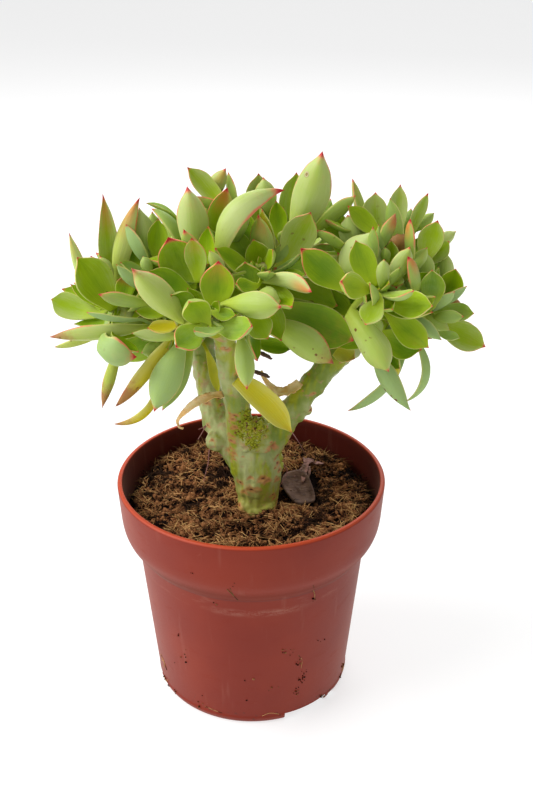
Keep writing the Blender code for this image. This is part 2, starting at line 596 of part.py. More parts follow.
def grow_leaves(fixed):
    """Shown leaves first, then every rosette from its outer leaves to its heart by the golden angle."""
    growth = Growth(fixed)
    for name in shown_leaves:
        leaf = shown_leaf(name)
        growth.add(leaf)
        growth.watch(leaf)
    draw = random.Random(11)
    for rosette, (head, across, down, depth, axis, longest, count) in rosettes.items():
        start = draw.uniform(0, 2 * pi)
        for i in range(count):
            age = 1.0 - i / count
            angle = start + i * radians(137.5)
            lean = radians(14 + 70 * age ** 0.8 + draw.uniform(-5, 5))
            length = longest * (0.42 + 0.58 * age ** 0.6) * draw.uniform(0.88, 1.06)
            width = min(13.0, length * draw.uniform(0.36, 0.43))
            for turn, tilt, scale in TRIES:
                leaf = aimed_leaf(
                    rosette, angle + radians(turn), lean + radians(tilt),
                    length * scale, width * scale, 8.0 * age, 0.08,
                )
                if not inside(head, leaf["tip"]) or not all(in_outline(p) for p in leaf_mesh(leaf, 1)[0]):
                    continue
                shape = growth.clear(leaf)
                if shape:
                    growth.add(leaf, shape)
                    break
    return growth


def twig_stations(rosette):
    """Short shoot from a head's base to one growing point."""
    head, centre, heading, length, count = rosette_frame(rosette)
    place, way, radius = head_base(head)
    start = place + way * 5.0
    bend = centre - heading * 12.0
    middle = (start + bend) / 2 + way * 4.0
    return [
        (start, radius * 0.85), (middle, radius * 0.8), (bend, 3.8), (centre, 2.9), (centre + heading * 2.5, 1.2),
    ]


def twig_mesh(rosette):
    return tube(twig_stations(rosette), sides=6)


def stalk_start(head, root, heading):
    """Distance, place and radius on the head's shoots where a leaf's stalk best starts."""
    best = None
    for name in rosettes:
        if rosettes[name][0] != head:
            continue
        stations = twig_stations(name)
        for (low, low_radius), (high, high_radius) in zip(stations, stations[1:]):
            for share in (0.1, 0.35, 0.6, 0.85):
                place = low.lerp(high, share)
                away = root - place
                back = max(0.0, 0.3 - away.normalized().dot(heading))
                cost = away.length * (1.0 + back)
                if best is None or cost < best[0]:
                    best = (cost, away.length, place, low_radius + (high_radius - low_radius) * share)
    return best[1:]


def view_stations(stations):
    return [(from_view(across, down, depth), radius) for across, down, depth, radius in stations]


def head_base(head):
    """Place, direction and radius of a branch's end."""
    (before, thick), (place, radius) = view_stations(branches[head][-2:])
    return place, (place - before).normalized(), radius


def head_core(head):
    """Knob on the end of a branch that the head's shoots start from."""
    start, way, radius = head_base(head)
    stations = [(start + way * GAP, radius), (start + way * 4.0, radius * 1.15), (start + way * 8.0, radius * 0.7)]
    return tube(stations, sides=8)


def turned(name, profile, sides, home, finish):
    """Solid turned about the pot axis from a profile of (radius, height) in millimetres."""
    data = bpy.data.meshes.new(name)
    data.from_pydata([(r * MM, 0.0, z * MM) for r, z in profile], [(i, i + 1) for i in range(len(profile) - 1)], [])
    made = bpy.data.objects.new(name, data)
    home.objects.link(made)
    step = made.modifiers.new("Turn", "SCREW")
    step.axis = "Z"
    step.steps = sides
    step.render_steps = sides
    step.use_merge_vertices = True
    step.merge_threshold = 0.00001
    bake(made)
    made.location = (SHIFT_X * MM, SHIFT_Y * MM, 0.0)
    made.data.materials.append(finish)
    for face in made.data.polygons:
        face.use_smooth = True
    return made


def pot_profile():
    inner_body = BODY_TOP_RADIUS - WALL
    inner_foot = FOOT_RADIUS - WALL
    return [
        (0.0, FLOOR_TOP), (inner_foot - 1.0, FLOOR_TOP), (inner_foot + 0.3, FLOOR_TOP + 1.3),
        (inner_body, COLLAR_FOOT - 0.6), (COLLAR_RADIUS - WALL - 1.9, COLLAR_FOOT + 4.6),
        (COLLAR_RADIUS - WALL, COLLAR_FOOT + 9.2), (RIM_RADIUS - LIP_WIDTH, POT_HEIGHT - 2.6),
        (RIM_RADIUS - LIP_WIDTH + 0.4, POT_HEIGHT), (RIM_RADIUS - 0.7, POT_HEIGHT), (RIM_RADIUS, POT_HEIGHT - 0.7),
        (COLLAR_RADIUS + 0.5, COLLAR_FOOT + 12.6), (COLLAR_RADIUS, COLLAR_FOOT + 9.2),
        (COLLAR_RADIUS - 1.1, COLLAR_FOOT + 6.2), (COLLAR_RADIUS - 3.2, COLLAR_FOOT + 3.0),
        (BODY_TOP_RADIUS, COLLAR_FOOT), (FOOT_RADIUS + 0.1, 1.0), (FOOT_RADIUS - 0.6, 0.0),
        (FOOT_RADIUS - 1.9, 0.0), (FOOT_RADIUS - 2.3, FLOOR_UNDERSIDE), (0.0, FLOOR_UNDERSIDE),
    ]


def sector(name, start, span, inner, outer, low, high, home):
    """Curved block between two radii and two heights, for cutting."""
    steps = max(2, int(span / radians(7.0)))
    points = []
    for i in range(steps + 1):
        angle = start + span * i / steps
        for radius, height in ((inner, low), (outer, low), (outer, high), (inner, high)):
            points.append((radius * cos(angle), radius * sin(angle), height))
    faces = [(0, 1, 2, 3)]
    for i in range(steps):
        a = i * 4
        for j in range(4):
            k = (j + 1) % 4
            faces.append((a + j, a + 4 + j, a + 4 + k, a + k))
    last = steps * 4
    faces.append((last + 3, last + 2, last + 1, last))
    made = add_mesh(name, points, faces, home)
    made.display_type = "WIRE"
    made.hide_render = True
    return made


def make_pot(home, cutters):
    finish = material("terracotta_plastic", (0.28, 0.045, 0.022), 0.42)
    pot = turned("pot", pot_profile(), POT_SIDES, home, finish)
    for i in range(NOTCH_COUNT):
        start = NOTCH_FIRST + i * 2 * pi / NOTCH_COUNT
        step = start + NOTCH_SPAN + NOTCH_TOOTH
        boxes = [
            sector(f"notch_{i}", start, NOTCH_SPAN, 35.6, 42.0, -2.0, NOTCH_HEIGHT, cutters),
            sector(f"notch_end_{i}", step, NOTCH_STEP, 35.6, 42.0, -2.0, NOTCH_HEIGHT * 0.7, cutters),
        ]
        middle = start + NOTCH_SPAN / 2
        ring = [(DRAIN_RING * cos(middle), DRAIN_RING * sin(middle), height) for height in (0.0, 8.0)]
        points, faces = tube([(place, DRAIN_RADIUS) for place in ring], sides=12)
        drain = add_mesh(f"drain_{i}", points, faces, cutters)
        drain.display_type = "WIRE"
        drain.hide_render = True
        for cutter in boxes + [drain]:
            boolean(pot, "DIFFERENCE", other=cutter)
    bake(pot)
    return pot


# Bed of the fallen leaf: middle, and rise of its tilted top toward the back.
FALLEN_PLACE = (18.8, 6.5, 83.0)
FALLEN_RISE = 0.36


def soil_height(x, y):
    """Height of the soil's surface, with a flat tilted bed under the fallen leaf."""
    rough = noise.fractal(Vector((x * 0.11, y * 0.11, 3.7)), 1.0, 2.0, 3) * SOIL_ROUGH
    height = SOIL_LEVEL + SOIL_HEAP * y * y - SOIL_SLOPE * y + rough
    bed = FALLEN_PLACE[2] + FALLEN_RISE * (y - FALLEN_PLACE[1])
    near = ((x - FALLEN_PLACE[0]) ** 2 + ((y - FALLEN_PLACE[1]) * 0.8) ** 2) ** 0.5
    share = min(1.0, max(0.0, (near - 9.0) / 5.0))
    return bed + (height - bed) * share


def make_soil(home):
    finish = material("peat_soil", (0.09, 0.05, 0.025), 0.95)
    wall = [
        (COLLAR_RADIUS - WALL - 1.9, COLLAR_FOOT + 4.6), (BODY_TOP_RADIUS - WALL, COLLAR_FOOT - 0.6),
        (FOOT_RADIUS - WALL + 0.3, FLOOR_TOP + 1.3 + GAP), (FOOT_RADIUS - WALL - 1.0, SOIL_DEEP),
    ]
    points = [(0.0, 0.0, soil_height(0.0, 0.0))]
    radii = [*SOIL_RINGS, COLLAR_RADIUS - WALL - GAP]
    for radius in radii:
        for i in range(SOIL_SECTORS):
            angle = 2 * pi * i / SOIL_SECTORS
            x = radius * cos(angle)
            y = radius * sin(angle)
            open_side = 0.12 + 0.88 * min(1.0, max(0.0, (y + 42.0) / 30.0))
            height = soil_height(x, y)
            if radius == radii[-1]:
                height = max(SOIL_EDGE_LOW, height - SOIL_SHRINK * open_side)
            points.append((x, y, height))
    for radius, height in wall:
        for i in range(SOIL_SECTORS):
            angle = 2 * pi * i / SOIL_SECTORS
            points.append(((radius - GAP) * cos(angle), (radius - GAP) * sin(angle), height))
    points.append((0.0, 0.0, SOIL_DEEP))
    last = len(points) - 1
    rings = len(radii) + len(wall)
    faces = []
    for i in range(SOIL_SECTORS):
        j = (i + 1) % SOIL_SECTORS
        faces.append((0, 1 + i, 1 + j))
        for ring in range(rings - 1):
            a = 1 + ring * SOIL_SECTORS
            b = a + SOIL_SECTORS
            faces.append((a + i, b + i, b + j))
            faces.append((a + i, b + j, a + j))
        a = 1 + (rings - 1) * SOIL_SECTORS
        faces.append((a + i, last, a + j))
    soil = add_mesh("soil", points, faces, home, finish)
    return soil


def trunk_paths():
    """Stations of the trunk, the three branches and the stub, as (place, radius)."""
    trunk = [
        ((TRUNK_X, TRUNK_Y, TRUNK_BOTTOM), TRUNK_RADIUS), ((TRUNK_X, TRUNK_Y, 85.5), TRUNK_RADIUS),
        ((TRUNK_X, TRUNK_Y, 90.5), 8.6), ((TRUNK_X - 0.2, TRUNK_Y, 96.0), 9.3),
        ((TRUNK_X - 1.4, TRUNK_Y + 0.6, 101.5), 9.5), ((TRUNK_X - 2.4, TRUNK_Y + 1.2, 106.5), 9.4),
        ((TRUNK_X - 2.6, TRUNK_Y + 1.6, 110.5), 7.4), ((TRUNK_X - 2.6, TRUNK_Y + 1.6, 112.5), 4.0),
    ]
    return [trunk, *[view_stations(branch) for branch in branches.values()], view_stations(stub)]


BUD_PLACE = from_view(255, 434, -12.5)


def make_stem(home):
    finish = material("stem_skin", (0.38, 0.44, 0.16), 0.6)
    pieces = []
    for k, stations in enumerate(trunk_paths()):
        points, faces = tube(stations, sides=14 if k == 0 else 10)
        pieces.append(add_mesh(f"stem_{k}", points, faces, home, finish, True))
    draw = random.Random(5)
    for k in range(9):
        angle = draw.uniform(-pi, 0.1)
        spot = BUD_PLACE + Vector((4.0 * cos(angle), 1.6 * sin(angle), draw.uniform(-5.0, 5.0)))
        size = draw.uniform(1.6, 2.4)
        work = bmesh.new()
        bmesh.ops.create_icosphere(work, subdivisions=1, radius=size)
        points = [vert.co + spot for vert in work.verts]
        faces = [[vert.index for vert in face.verts] for face in work.faces]
        work.free()
        pieces.append(add_mesh(f"bud_{k}", points, faces, home, finish, True))
    stem = pieces[0]
    stem.name = "stem"
    fuse(stem, pieces[1:])
    return stem


# Leaves whose colour sets them apart from a head: branch, root and tip as across, down and depth
# in the view, upper side, width, bow and roll.
lone_leaves = {
    "leaf_yellow": ("middle", (240, 382, -19.5), (292, 433, -27.0), (0.2, -0.8, 0.55), 9.2, -0.06, 0),
    "leaf_curled": ("middle", (222, 394, -13.0), (178, 424, -14.0), (-0.2, -0.5, 1.0), 5.0, -0.18, 30),
    "leaf_tan": ("right", (294, 388, -6.0), (270, 391, -6.0), (0.0, -0.6, 1.0), 4.5, 0.16, 0),
    "leaf_yellow_small": ("right", (334, 350, -8.0), (355, 359, -14.0), (0.0, -0.8, 0.6), 5.5, 0.0, 0),
}


def nearest_axis(stations, place):
    """Nearest point on a branch's axis to a place, with the branch's radius there."""
    best = None
    for (low, low_radius), (high, high_radius) in zip(stations, stations[1:]):
        span = high - low
        share = min(1.0, max(0.0, (place - low).dot(span) / span.length_squared))
        point = low + span * share
        distance = (place - point).length
        if best is None or distance < best[0]:
            best = (distance, point, low_radius + (high_radius - low_radius) * share)
    return best


def own_leaves():
    """Lone leaves, each slid along its side of the branch's surface until it just clears it."""
    made = {}
    for name, (branch, root, tip, up, width, bow, roll) in lone_leaves.items():
        leaf = dict(
            name=name, head=name, root=from_view(*root), tip=from_view(*tip),
            up=vec(up), width=width, bow=bow, roll=roll,
        )
        stations = view_stations(branches[branch])
        for step in range(4):
            distance, axis, radius = nearest_axis(stations, leaf["root"])
            away = (leaf["root"] - axis).normalized()
            room = [nearest_axis(stations, point) for point in leaf_mesh(leaf)[0]]
            least = min(distance - radius for distance, axis, radius in room)
            leaf["root"] = leaf["root"] + away * (GAP - least)
        made[name] = leaf
    return made


def make_fallen(home):
    """Dried leaf lying on its bed in the soil."""
    finish = material("dry_leaf", (0.12, 0.06, 0.05), 0.8)
    x, y, z = FALLEN_PLACE
    sides = 12
    points = []
    for share, lift in ((1.0, GAP), (0.97, 1.4)):
        for i in range(sides):
            angle = 2 * pi * i / sides + radians(15)
            wide = 6.8 + 1.2 * cos(2 * angle + 0.6)
            px = wide * share * cos(angle)
            py = 8.6 * share * sin(angle) * (1.0 - 0.22 * sin(angle))
            points.append((x + px, y + py, z + FALLEN_RISE * py + lift + 0.05 * abs(px) * (lift > 1)))
    points += [(x, y, z + 1.0), (x, y, z + GAP)]
    top = len(points) - 2
    faces = []
    for i in range(sides):
        j = (i + 1) % sides
        faces += [(i, j, sides + j), (i, sides + j, sides + i), (sides + i, sides + j, top), (j, i, top + 1)]
    return add_mesh("leaf_fallen", points, faces, home, finish, True)


# The dried sprig behind the fallen leaf, as shrivelled blades: root, tip and width.
SPRIG_PLACE = (23.0, 25.5)
sprig_blades = (((-4.5, -1.5), (5.5, 1.5), 3.0), ((-1.5, 4.5), (0.0, -4.5), 2.6), ((0.0, 0.0), (-5.5, -4.5), 2.0))


def make_sprig(home):
    """Shrivelled sprig lying on the soil."""
    finish = material("dry_sprig", (0.22, 0.1, 0.1), 0.8)
    pieces = []
    for k, (start, end, width) in enumerate(sprig_blades):
        places = [(SPRIG_PLACE[0] + px, SPRIG_PLACE[1] + py) for px, py in (start, end)]
        ends = [Vector((px, py, soil_height(px, py) + 2.1)) for px, py in places]
        blade = dict(name="sprig", root=ends[0], tip=ends[1], up=Vector((0, 0, 1)), width=width, bow=-0.06, roll=0.0)
        points, faces = leaf_mesh(blade)
        pieces.append(add_mesh(f"sprig_{k}", points, faces, home, finish, True))
    pieces[0].name = "sprig_fallen"
    return fuse(pieces[0], pieces[1:])


def make_heads(home, growth):
    finish = material("leaf_green", (0.26, 0.42, 0.08), 0.5)
    made = []
    for head in branches:
        points, faces = head_core(head)
        core = add_mesh("head_" + head, points, faces, home, finish, True)
        pieces = []
        for rosette in rosettes:
            if rosettes[rosette][0] == head:
                points, faces = twig_mesh(rosette)
                pieces.append(add_mesh("twig_" + rosette, points, faces, home, finish, True))
        for k, leaf in enumerate(growth.leaves):
            if leaf["head"] == head:
                points, faces = leaf_mesh(leaf)
                pieces.append(add_mesh(f"{head}_leaf_{k}", points, faces, home, finish, True))
        fuse(core, pieces)
        step = core.modifiers.new("Thin", "DECIMATE")
        step.ratio = HEAD_SHARE
        step.use_collapse_triangulate = True
        bake(core)
        keep_main_body(core)
        made.append(core)
    return made


def main():
    for thing in list(bpy.data.objects):
        bpy.data.objects.remove(thing)
    home = bpy.data.collections.new("crested_echeveria")
    cutters = bpy.data.collections.new("cutters")
    bpy.context.scene.collection.children.link(home)
    bpy.context.scene.collection.children.link(cutters)
    cutters.hide_render = True

    make_pot(home, cutters)
    soil = make_soil(home)
    stem = make_stem(home)
    base = (TRUNK_X, TRUNK_Y)
    points, faces = tube([((*base, TRUNK_BOTTOM - 1.0), TRUNK_RADIUS + GAP), ((*base, 100.0), TRUNK_RADIUS + GAP)], 28)
    hole = add_mesh("stem_hole", points, faces, cutters)
    hole.display_type = "WIRE"
    hole.hide_render = True
    boolean(soil, "DIFFERENCE", other=hole)
    bake(soil)
    make_fallen(home)
    make_sprig(home)

    fixed = []
    for stations in trunk_paths():
        fixed.append(("stem", tree(*tube(stations, sides=14))))
    for rosette in rosettes:
        fixed.append((rosettes[rosette][0], tree(*twig_mesh(rosette))))
    for name, leaf in own_leaves().items():
        points, faces = leaf_mesh(leaf)
        tint = material(name, (0.55, 0.5, 0.08), 0.5)
        add_mesh(name, points, faces, home, tint, True)
        fixed.append((name, tree(points, faces)))
    growth = grow_leaves(fixed)
    make_heads(home, growth)


main()
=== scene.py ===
import bmesh
import bpy
import numpy as np
import random
from math import cos, exp, pi, radians, sin
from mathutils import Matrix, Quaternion, Vector, noise
from mathutils.bvhtree import BVHTree


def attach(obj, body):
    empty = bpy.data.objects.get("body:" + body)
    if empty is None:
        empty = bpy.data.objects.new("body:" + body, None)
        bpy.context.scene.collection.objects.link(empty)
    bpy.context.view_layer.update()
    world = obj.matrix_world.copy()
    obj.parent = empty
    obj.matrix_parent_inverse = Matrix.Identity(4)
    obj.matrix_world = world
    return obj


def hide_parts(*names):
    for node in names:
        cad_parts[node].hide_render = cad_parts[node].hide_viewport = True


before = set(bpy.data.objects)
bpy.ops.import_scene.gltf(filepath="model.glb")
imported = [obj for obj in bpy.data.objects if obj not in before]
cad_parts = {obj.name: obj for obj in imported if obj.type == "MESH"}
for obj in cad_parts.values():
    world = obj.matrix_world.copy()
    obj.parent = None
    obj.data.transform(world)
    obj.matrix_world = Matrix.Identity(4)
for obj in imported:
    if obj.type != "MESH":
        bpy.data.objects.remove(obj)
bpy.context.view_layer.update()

# Lengths are millimetres about the pot's axis, with z = 0 on the table. newPiece turns them into metres.
mm = 0.001
potAxis = Vector((-6.5, -1.6, 0.0))  # the whole plant's box is centred on zero, the pot left of that
goldenTurn = radians(137.5)  # from one leaf to the next

# The photograph's camera, about the pot's axis.
view = {
    "distance": 367.8,
    "height": 307.7,
    "pitch": radians(26.5),
    "yaw": radians(-0.93),
    "focus": 1079.3,  # in pixels of the 533 x 800 picture
    "middle": (266.5, 400.0),
}
eye = Vector((0.0, -view["distance"], view["height"]))


def sightLine(across, down):  # the way from the eye through a pixel, its y counted as 1
    a = (across - view["middle"][0]) / view["focus"]
    b = (view["middle"][1] - down) / view["focus"]
    forward = cos(view["pitch"]) + b * sin(view["pitch"])
    rise = b * cos(view["pitch"]) - sin(view["pitch"])
    x = a * cos(view["yaw"]) - forward * sin(view["yaw"])
    y = a * sin(view["yaw"]) + forward * cos(view["yaw"])
    return Vector((x / y, 1.0, rise / y))


def fromView(across, down, depth):  # the place on that line at a depth behind the pot's axis
    return eye + sightLine(across, down) * (depth + view["distance"])


def meet(shape, across, down):  # where that line meets a shape: place, normal, face and distance
    return shape.ray_cast(eye, sightLine(across, down).normalized())


def toView(place):  # across and down in the picture
    x, y, z = place - eye
    side = x * cos(view["yaw"]) + y * sin(view["yaw"])
    level = y * cos(view["yaw"]) - x * sin(view["yaw"])
    away = level * cos(view["pitch"]) - z * sin(view["pitch"])
    rise = level * sin(view["pitch"]) + z * cos(view["pitch"])
    return view["middle"][0] + view["focus"] * side / away, view["middle"][1] - view["focus"] * rise / away


def clamp(value, low=0.0, high=1.0):
    return min(1.0, max(0.0, (value - low) / (high - low)))


def smooth(value, low=0.0, high=1.0):
    share = clamp(value, low, high)
    return share * share * (3 - 2 * share)


def tint(red, green, blue):  # a screen colour, 0 to 255, as a shader colour
    return (*((v / 255) ** 2.2 for v in (red, green, blue)), 1.0)


class Wire:  # an output socket that takes part in sums
    def __init__(self, net, socket):
        self.net = net
        self.socket = socket

    def __add__(self, other):
        return self.net.maths("ADD", self, other)

    def __sub__(self, other):
        return self.net.maths("SUBTRACT", self, other)

    def __mul__(self, other):
        return self.net.maths("MULTIPLY", self, other)

    def __truediv__(self, other):
        return self.net.maths("DIVIDE", self, other)

    def __rsub__(self, other):
        return self.net.maths("SUBTRACT", other, self)

    __radd__ = __add__
    __rmul__ = __mul__


class Net:  # a node tree, built by expressions
    def __init__(self, tree):
        self.tree = tree

    def node(self, kind, settings=None, values=None, out=0):
        made = self.tree.nodes.new(kind)
        for key, value in (settings or {}).items():
            setattr(made, key, value)
        for key, value in (values or {}).items():
            if isinstance(value, Wire):
                self.tree.links.new(value.socket, made.inputs[key])
            else:
                made.inputs[key].default_value = value
        return Wire(self, made.outputs[out])

    def maths(self, operation, *values):
        return self.node("ShaderNodeMath", {"operation": operation}, dict(enumerate(values)))

    def vector(self, operation, *values, out=0):
        return self.node("ShaderNodeVectorMath", {"operation": operation}, dict(enumerate(values)), out)

    def scaled(self, vector, factor):
        return self.node("ShaderNodeVectorMath", {"operation": "SCALE"}, {0: vector, "Scale": factor})

    def join(self, x=0.0, y=0.0, z=0.0):
        return self.node("ShaderNodeCombineXYZ", None, {0: x, 1: y, 2: z})

    def split(self, vector):
        return [self.node("ShaderNodeSeparateXYZ", None, {0: vector}, axis) for axis in range(3)]

    def cloud(self, where, scale, detail=2.0, stretch=None, rough=0.5, out=0):
        if stretch:
            where = self.vector("MULTIPLY", where, stretch)
        values = {"Vector": where, "Scale": scale, "Detail": detail, "Roughness": rough}
        return self.node("ShaderNodeTexNoise", None, values, out)


class Finish(Net):  # a material on one Principled shader, its colour painted coat over coat
    def __init__(self, name, colours, constants=None):
        self.material = bpy.data.materials.new(name)
        self.material.use_nodes = True
        super().__init__(self.material.node_tree)
        self.skin = self.tree.nodes["Principled BSDF"]
        for key, value in (constants or {}).items():
            self.skin.inputs[key].default_value = value
        self.colours = colours
        self.colour = None

    def place(self):
        return self.node("ShaderNodeTexCoord", out="Object")

    def attribute(self, name):
        return self.split(self.node("ShaderNodeAttribute", {"attribute_name": name}, out="Vector"))

    def step(self, value, low, high):
        values = {"Value": value, "From Min": low, "From Max": high}
        return self.node("ShaderNodeMapRange", {"interpolation_type": "SMOOTHSTEP"}, values)

    def band(self, value, low, lowFull, highFull, high):
        return self.step(value, low, lowFull) * (1 - self.step(value, highFull, high))

    def mix(self, share, first, second):
        return self.node("ShaderNodeMix", {"data_type": "RGBA"}, {0: share, 6: first, 7: second}, 2)

    def ground(self, share, first, second):
        self.colour = self.mix(share, self.colours[first], self.colours[second])

    def coat(self, share, name):
        self.colour = self.mix(share, self.colour, self.colours[name])

    def finish(self, roughness=None, relief=None, depth=0.0002, strength=0.6):
        links = self.tree.links
        links.new(self.colour.socket, self.skin.inputs["Base Color"])
        if roughness is not None:
            links.new(roughness.socket, self.skin.inputs["Roughness"])
        if relief is not None:
            values = {"Height": relief, "Distance": depth, "Strength": strength}
            links.new(self.node("ShaderNodeBump", None, values).socket, self.skin.inputs["Normal"])
        return self.material


class Growing(Net):  # a Geometry Nodes tree with named inputs
    def __init__(self, name):
        super().__init__(bpy.data.node_groups.new(name, "GeometryNodeTree"))
        self.tree.interface.new_socket("Geometry", in_out="INPUT", socket_type="NodeSocketGeometry")
        self.tree.interface.new_socket("Geometry", in_out="OUTPUT", socket_type="NodeSocketGeometry")
        self.start = self.tree.nodes.new("NodeGroupInput")
        self.sockets = {}

    def input(self, name, value, kind="Float"):
        item = self.tree.interface.new_socket(name, in_out="INPUT", socket_type="NodeSocket" + kind)
        self.sockets[name] = (item.identifier, value)
        return Wire(self, self.start.outputs[name])

    def inputs(self, form):  # the numbers of a form, whole ones as whole ones
        kinds = {int: "Int", float: "Float"}
        return {key: self.input(key, value, kinds[type(value)]) for key, value in form.items()}

    def geometry(self):
        return Wire(self, self.start.outputs["Geometry"])

    def place(self):
        return self.node("GeometryNodeInputPosition")

    def random(self, low, high, seed):
        if isinstance(low, tuple):
            settings, values, out = {"data_type": "FLOAT_VECTOR"}, {0: low, 1: high, "Seed": seed}, 0
        else:
            settings, values, out = {"data_type": "FLOAT"}, {2: low, 3: high, "Seed": seed}, 1
        return self.node("FunctionNodeRandomValue", settings, values, out)

    def shift(self, geometry, offset):
        return self.node("GeometryNodeSetPosition", None, {"Geometry": geometry, "Offset": offset})

    def grow(self, base, result, finish):  # the plain mesh that the tree makes of a base object
        real = self.node("GeometryNodeRealizeInstances", None, {0: result})
        done = self.node("GeometryNodeSetMaterial", None, {"Geometry": real, "Material": finish})
        end = self.tree.nodes.new("NodeGroupOutput")
        self.tree.links.new(done.socket, end.inputs[0])
        step = base.modifiers.new(self.tree.name, "NODES")
        step.node_group = self.tree
        for identifier, value in self.sockets.values():
            step[identifier] = value
        bake(base)
        base.data.shade_smooth()
        return base


def bake(thing):
    bpy.context.view_layer.update()
    graph = bpy.context.evaluated_depsgraph_get()
    data = bpy.data.meshes.new_from_object(thing.evaluated_get(graph))
    thing.modifiers.clear()
    thing.data = data


class Bundle:  # shells gathered for one piece, with a value for each point where a finish needs one
    def __init__(self):
        self.points = []
        self.faces = []
        self.marks = {}

    def add(self, points, faces, **marks):  # a mark: one value for the shell, or a list, point by point
        start = len(self.points)
        self.points += points
        self.faces += [tuple(start + i for i in face) for face in faces]
        for name, mark in marks.items():
            self.marks.setdefault(name, []).extend(mark if isinstance(mark, list) else [mark] * len(points))


def link(name, data):
    made = bpy.data.objects.new(name, data)
    bpy.context.scene.collection.objects.link(made)
    return made


def turnOut(data):  # faces outward
    work = bmesh.new()
    work.from_mesh(data)
    bmesh.ops.recalc_face_normals(work, faces=work.faces)
    work.to_mesh(data)
    work.free()


def storeMark(data, name, values):
    layer = data.attributes.new(name, "FLOAT_VECTOR", "POINT")
    layer.data.foreach_set("vector", np.array(values, dtype=np.float32).ravel())


def newPiece(name, bundle, *finishes):
    data = bpy.data.meshes.new(name)
    data.from_pydata([(Vector(p) + potAxis) * mm for p in bundle.points], [], bundle.faces)
    turnOut(data)
    for finish in finishes:
        data.materials.append(finish)
    for label, values in bundle.marks.items():
        storeMark(data, label, values)
    data.shade_smooth()
    return link(name, data)


def skinShape(piece):  # a finished piece's skin, to cast rays at
    points = [vert.co / mm - potAxis for vert in piece.data.vertices]
    return BVHTree.FromPolygons(points, [tuple(face.vertices) for face in piece.data.polygons])


def hand(piece, slot, *nodes):  # to the part's one body
    if nodes:
        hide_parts(*nodes)
    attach(piece, "root")
    print(piece.name, len(piece.data.polygons), "faces")
    return piece


def softPath(stations, steps):  # Catmull-Rom curve through stations of (place, radius)
    last = len(stations) - 1
    made = []
    for k in range(last):
        around = [stations[min(last, max(0, k + i))] for i in (-1, 0, 1, 2)]
        for i in range(steps):
            t = i / steps
            weights = (
                -0.5 * t + t * t - 0.5 * t ** 3, 1 - 2.5 * t * t + 1.5 * t ** 3,
                0.5 * t + 2 * t * t - 1.5 * t ** 3, -0.5 * t * t + 0.5 * t ** 3,
            )
            place = sum((near[0] * w for near, w in zip(around, weights)), Vector())
            made.append((place, sum(near[1] * w for near, w in zip(around, weights))))
    made.append(stations[-1])
    return made


def bands(rings, sides, start=0):  # the faces between rings of points
    return [
        (low + i, low + (i + 1) % sides, low + sides + (i + 1) % sides, low + sides + i)
        for low in range(start, start + (rings - 1) * sides, sides) for i in range(sides)
    ]


def fan(start, sides, tip):  # the faces between a ring and one point
    return [(start + i, start + (i + 1) % sides, tip) for i in range(sides)]


def aheadAt(places, k):  # the way that a path of places runs
    return (places[min(k + 1, len(places) - 1)] - places[max(k - 1, 0)]).normalized()


def tubeShell(stations, sides, rough=0.0):  # closed tube, its rings carried along without twisting
    places = [place for place, radius in stations]
    across = None
    points = []
    for k, (place, radius) in enumerate(stations):
        ahead = aheadAt(places, k)
        across = across or ahead.orthogonal()
        across = (across - ahead * across.dot(ahead)).normalized()
        square = ahead.cross(across)
        for i in range(sides):
            angle = 2 * pi * i / sides
            spot = place + (across * cos(angle) + square * sin(angle)) * radius
            points.append(spot + (spot - place) * (rough * noise.noise(spot * 0.35)))
    count = len(points)
    points += [places[0], places[-1]]
    faces = bands(len(places), sides) + [(b, a, tip) for a, b, tip in fan(0, sides, count)]
    return points, faces + fan(count - sides, sides, count + 1)


# Growing points: head, place in the view, depth, axis, leaf length and leaf count.
rosettes = {
    "left_tip": ("left", 120, 302, -8, (-0.5, -0.4, 0.8), 33, 11),
    "left_crown": ("left", 158, 268, 12, (-0.2, 0.15, 1.0), 33, 12),
    "left_back": ("left", 118, 300, 34, (-0.7, 0.6, 0.5), 31, 10),
    "left_low": ("left", 166, 330, -12, (-0.4, -0.8, 0.2), 30, 5),
    "left_rear": ("left", 172, 272, 42, (-0.1, 0.9, 0.5), 33, 11),
    "mid_front": ("middle", 208, 318, -38, (-0.15, -0.8, 0.6), 17, 7),
    "mid_left": ("middle", 200, 278, -20, (-0.4, -0.5, 0.8), 26, 5),
    "mid_heart": ("middle", 262, 270, -22, (0.15, -0.6, 0.8), 28, 12),
    "mid_crown": ("middle", 212, 240, -4, (-0.1, -0.1, 1.0), 33, 11),
    "mid_tall": ("middle", 286, 232, 6, (0.25, 0.1, 1.0), 33, 11),
    "mid_side": ("middle", 268, 310, -14, (0.75, -0.5, 0.1), 28, 3),
    "mid_rear": ("middle", 232, 250, 38, (-0.1, 0.9, 0.5), 33, 11),
    "mid_flank": ("middle", 304, 262, 30, (0.5, 0.7, 0.5), 32, 11),
    "right_face": ("right", 368, 286, -22, (-0.15, -0.6, 0.8), 27, 12),
    "right_crown": ("right", 390, 250, -2, (0.0, -0.05, 1.0), 28, 11),
    "right_wing": ("right", 436, 292, -8, (0.5, -0.3, 0.8), 27, 11),
    "right_low": ("right", 404, 320, -18, (0.3, -0.8, 0.2), 28, 5),
    "right_rear": ("right", 384, 264, 30, (0.0, 0.9, 0.5), 32, 11),
    "right_back": ("right", 434, 300, 20, (0.7, 0.5, 0.5), 28, 9),
}

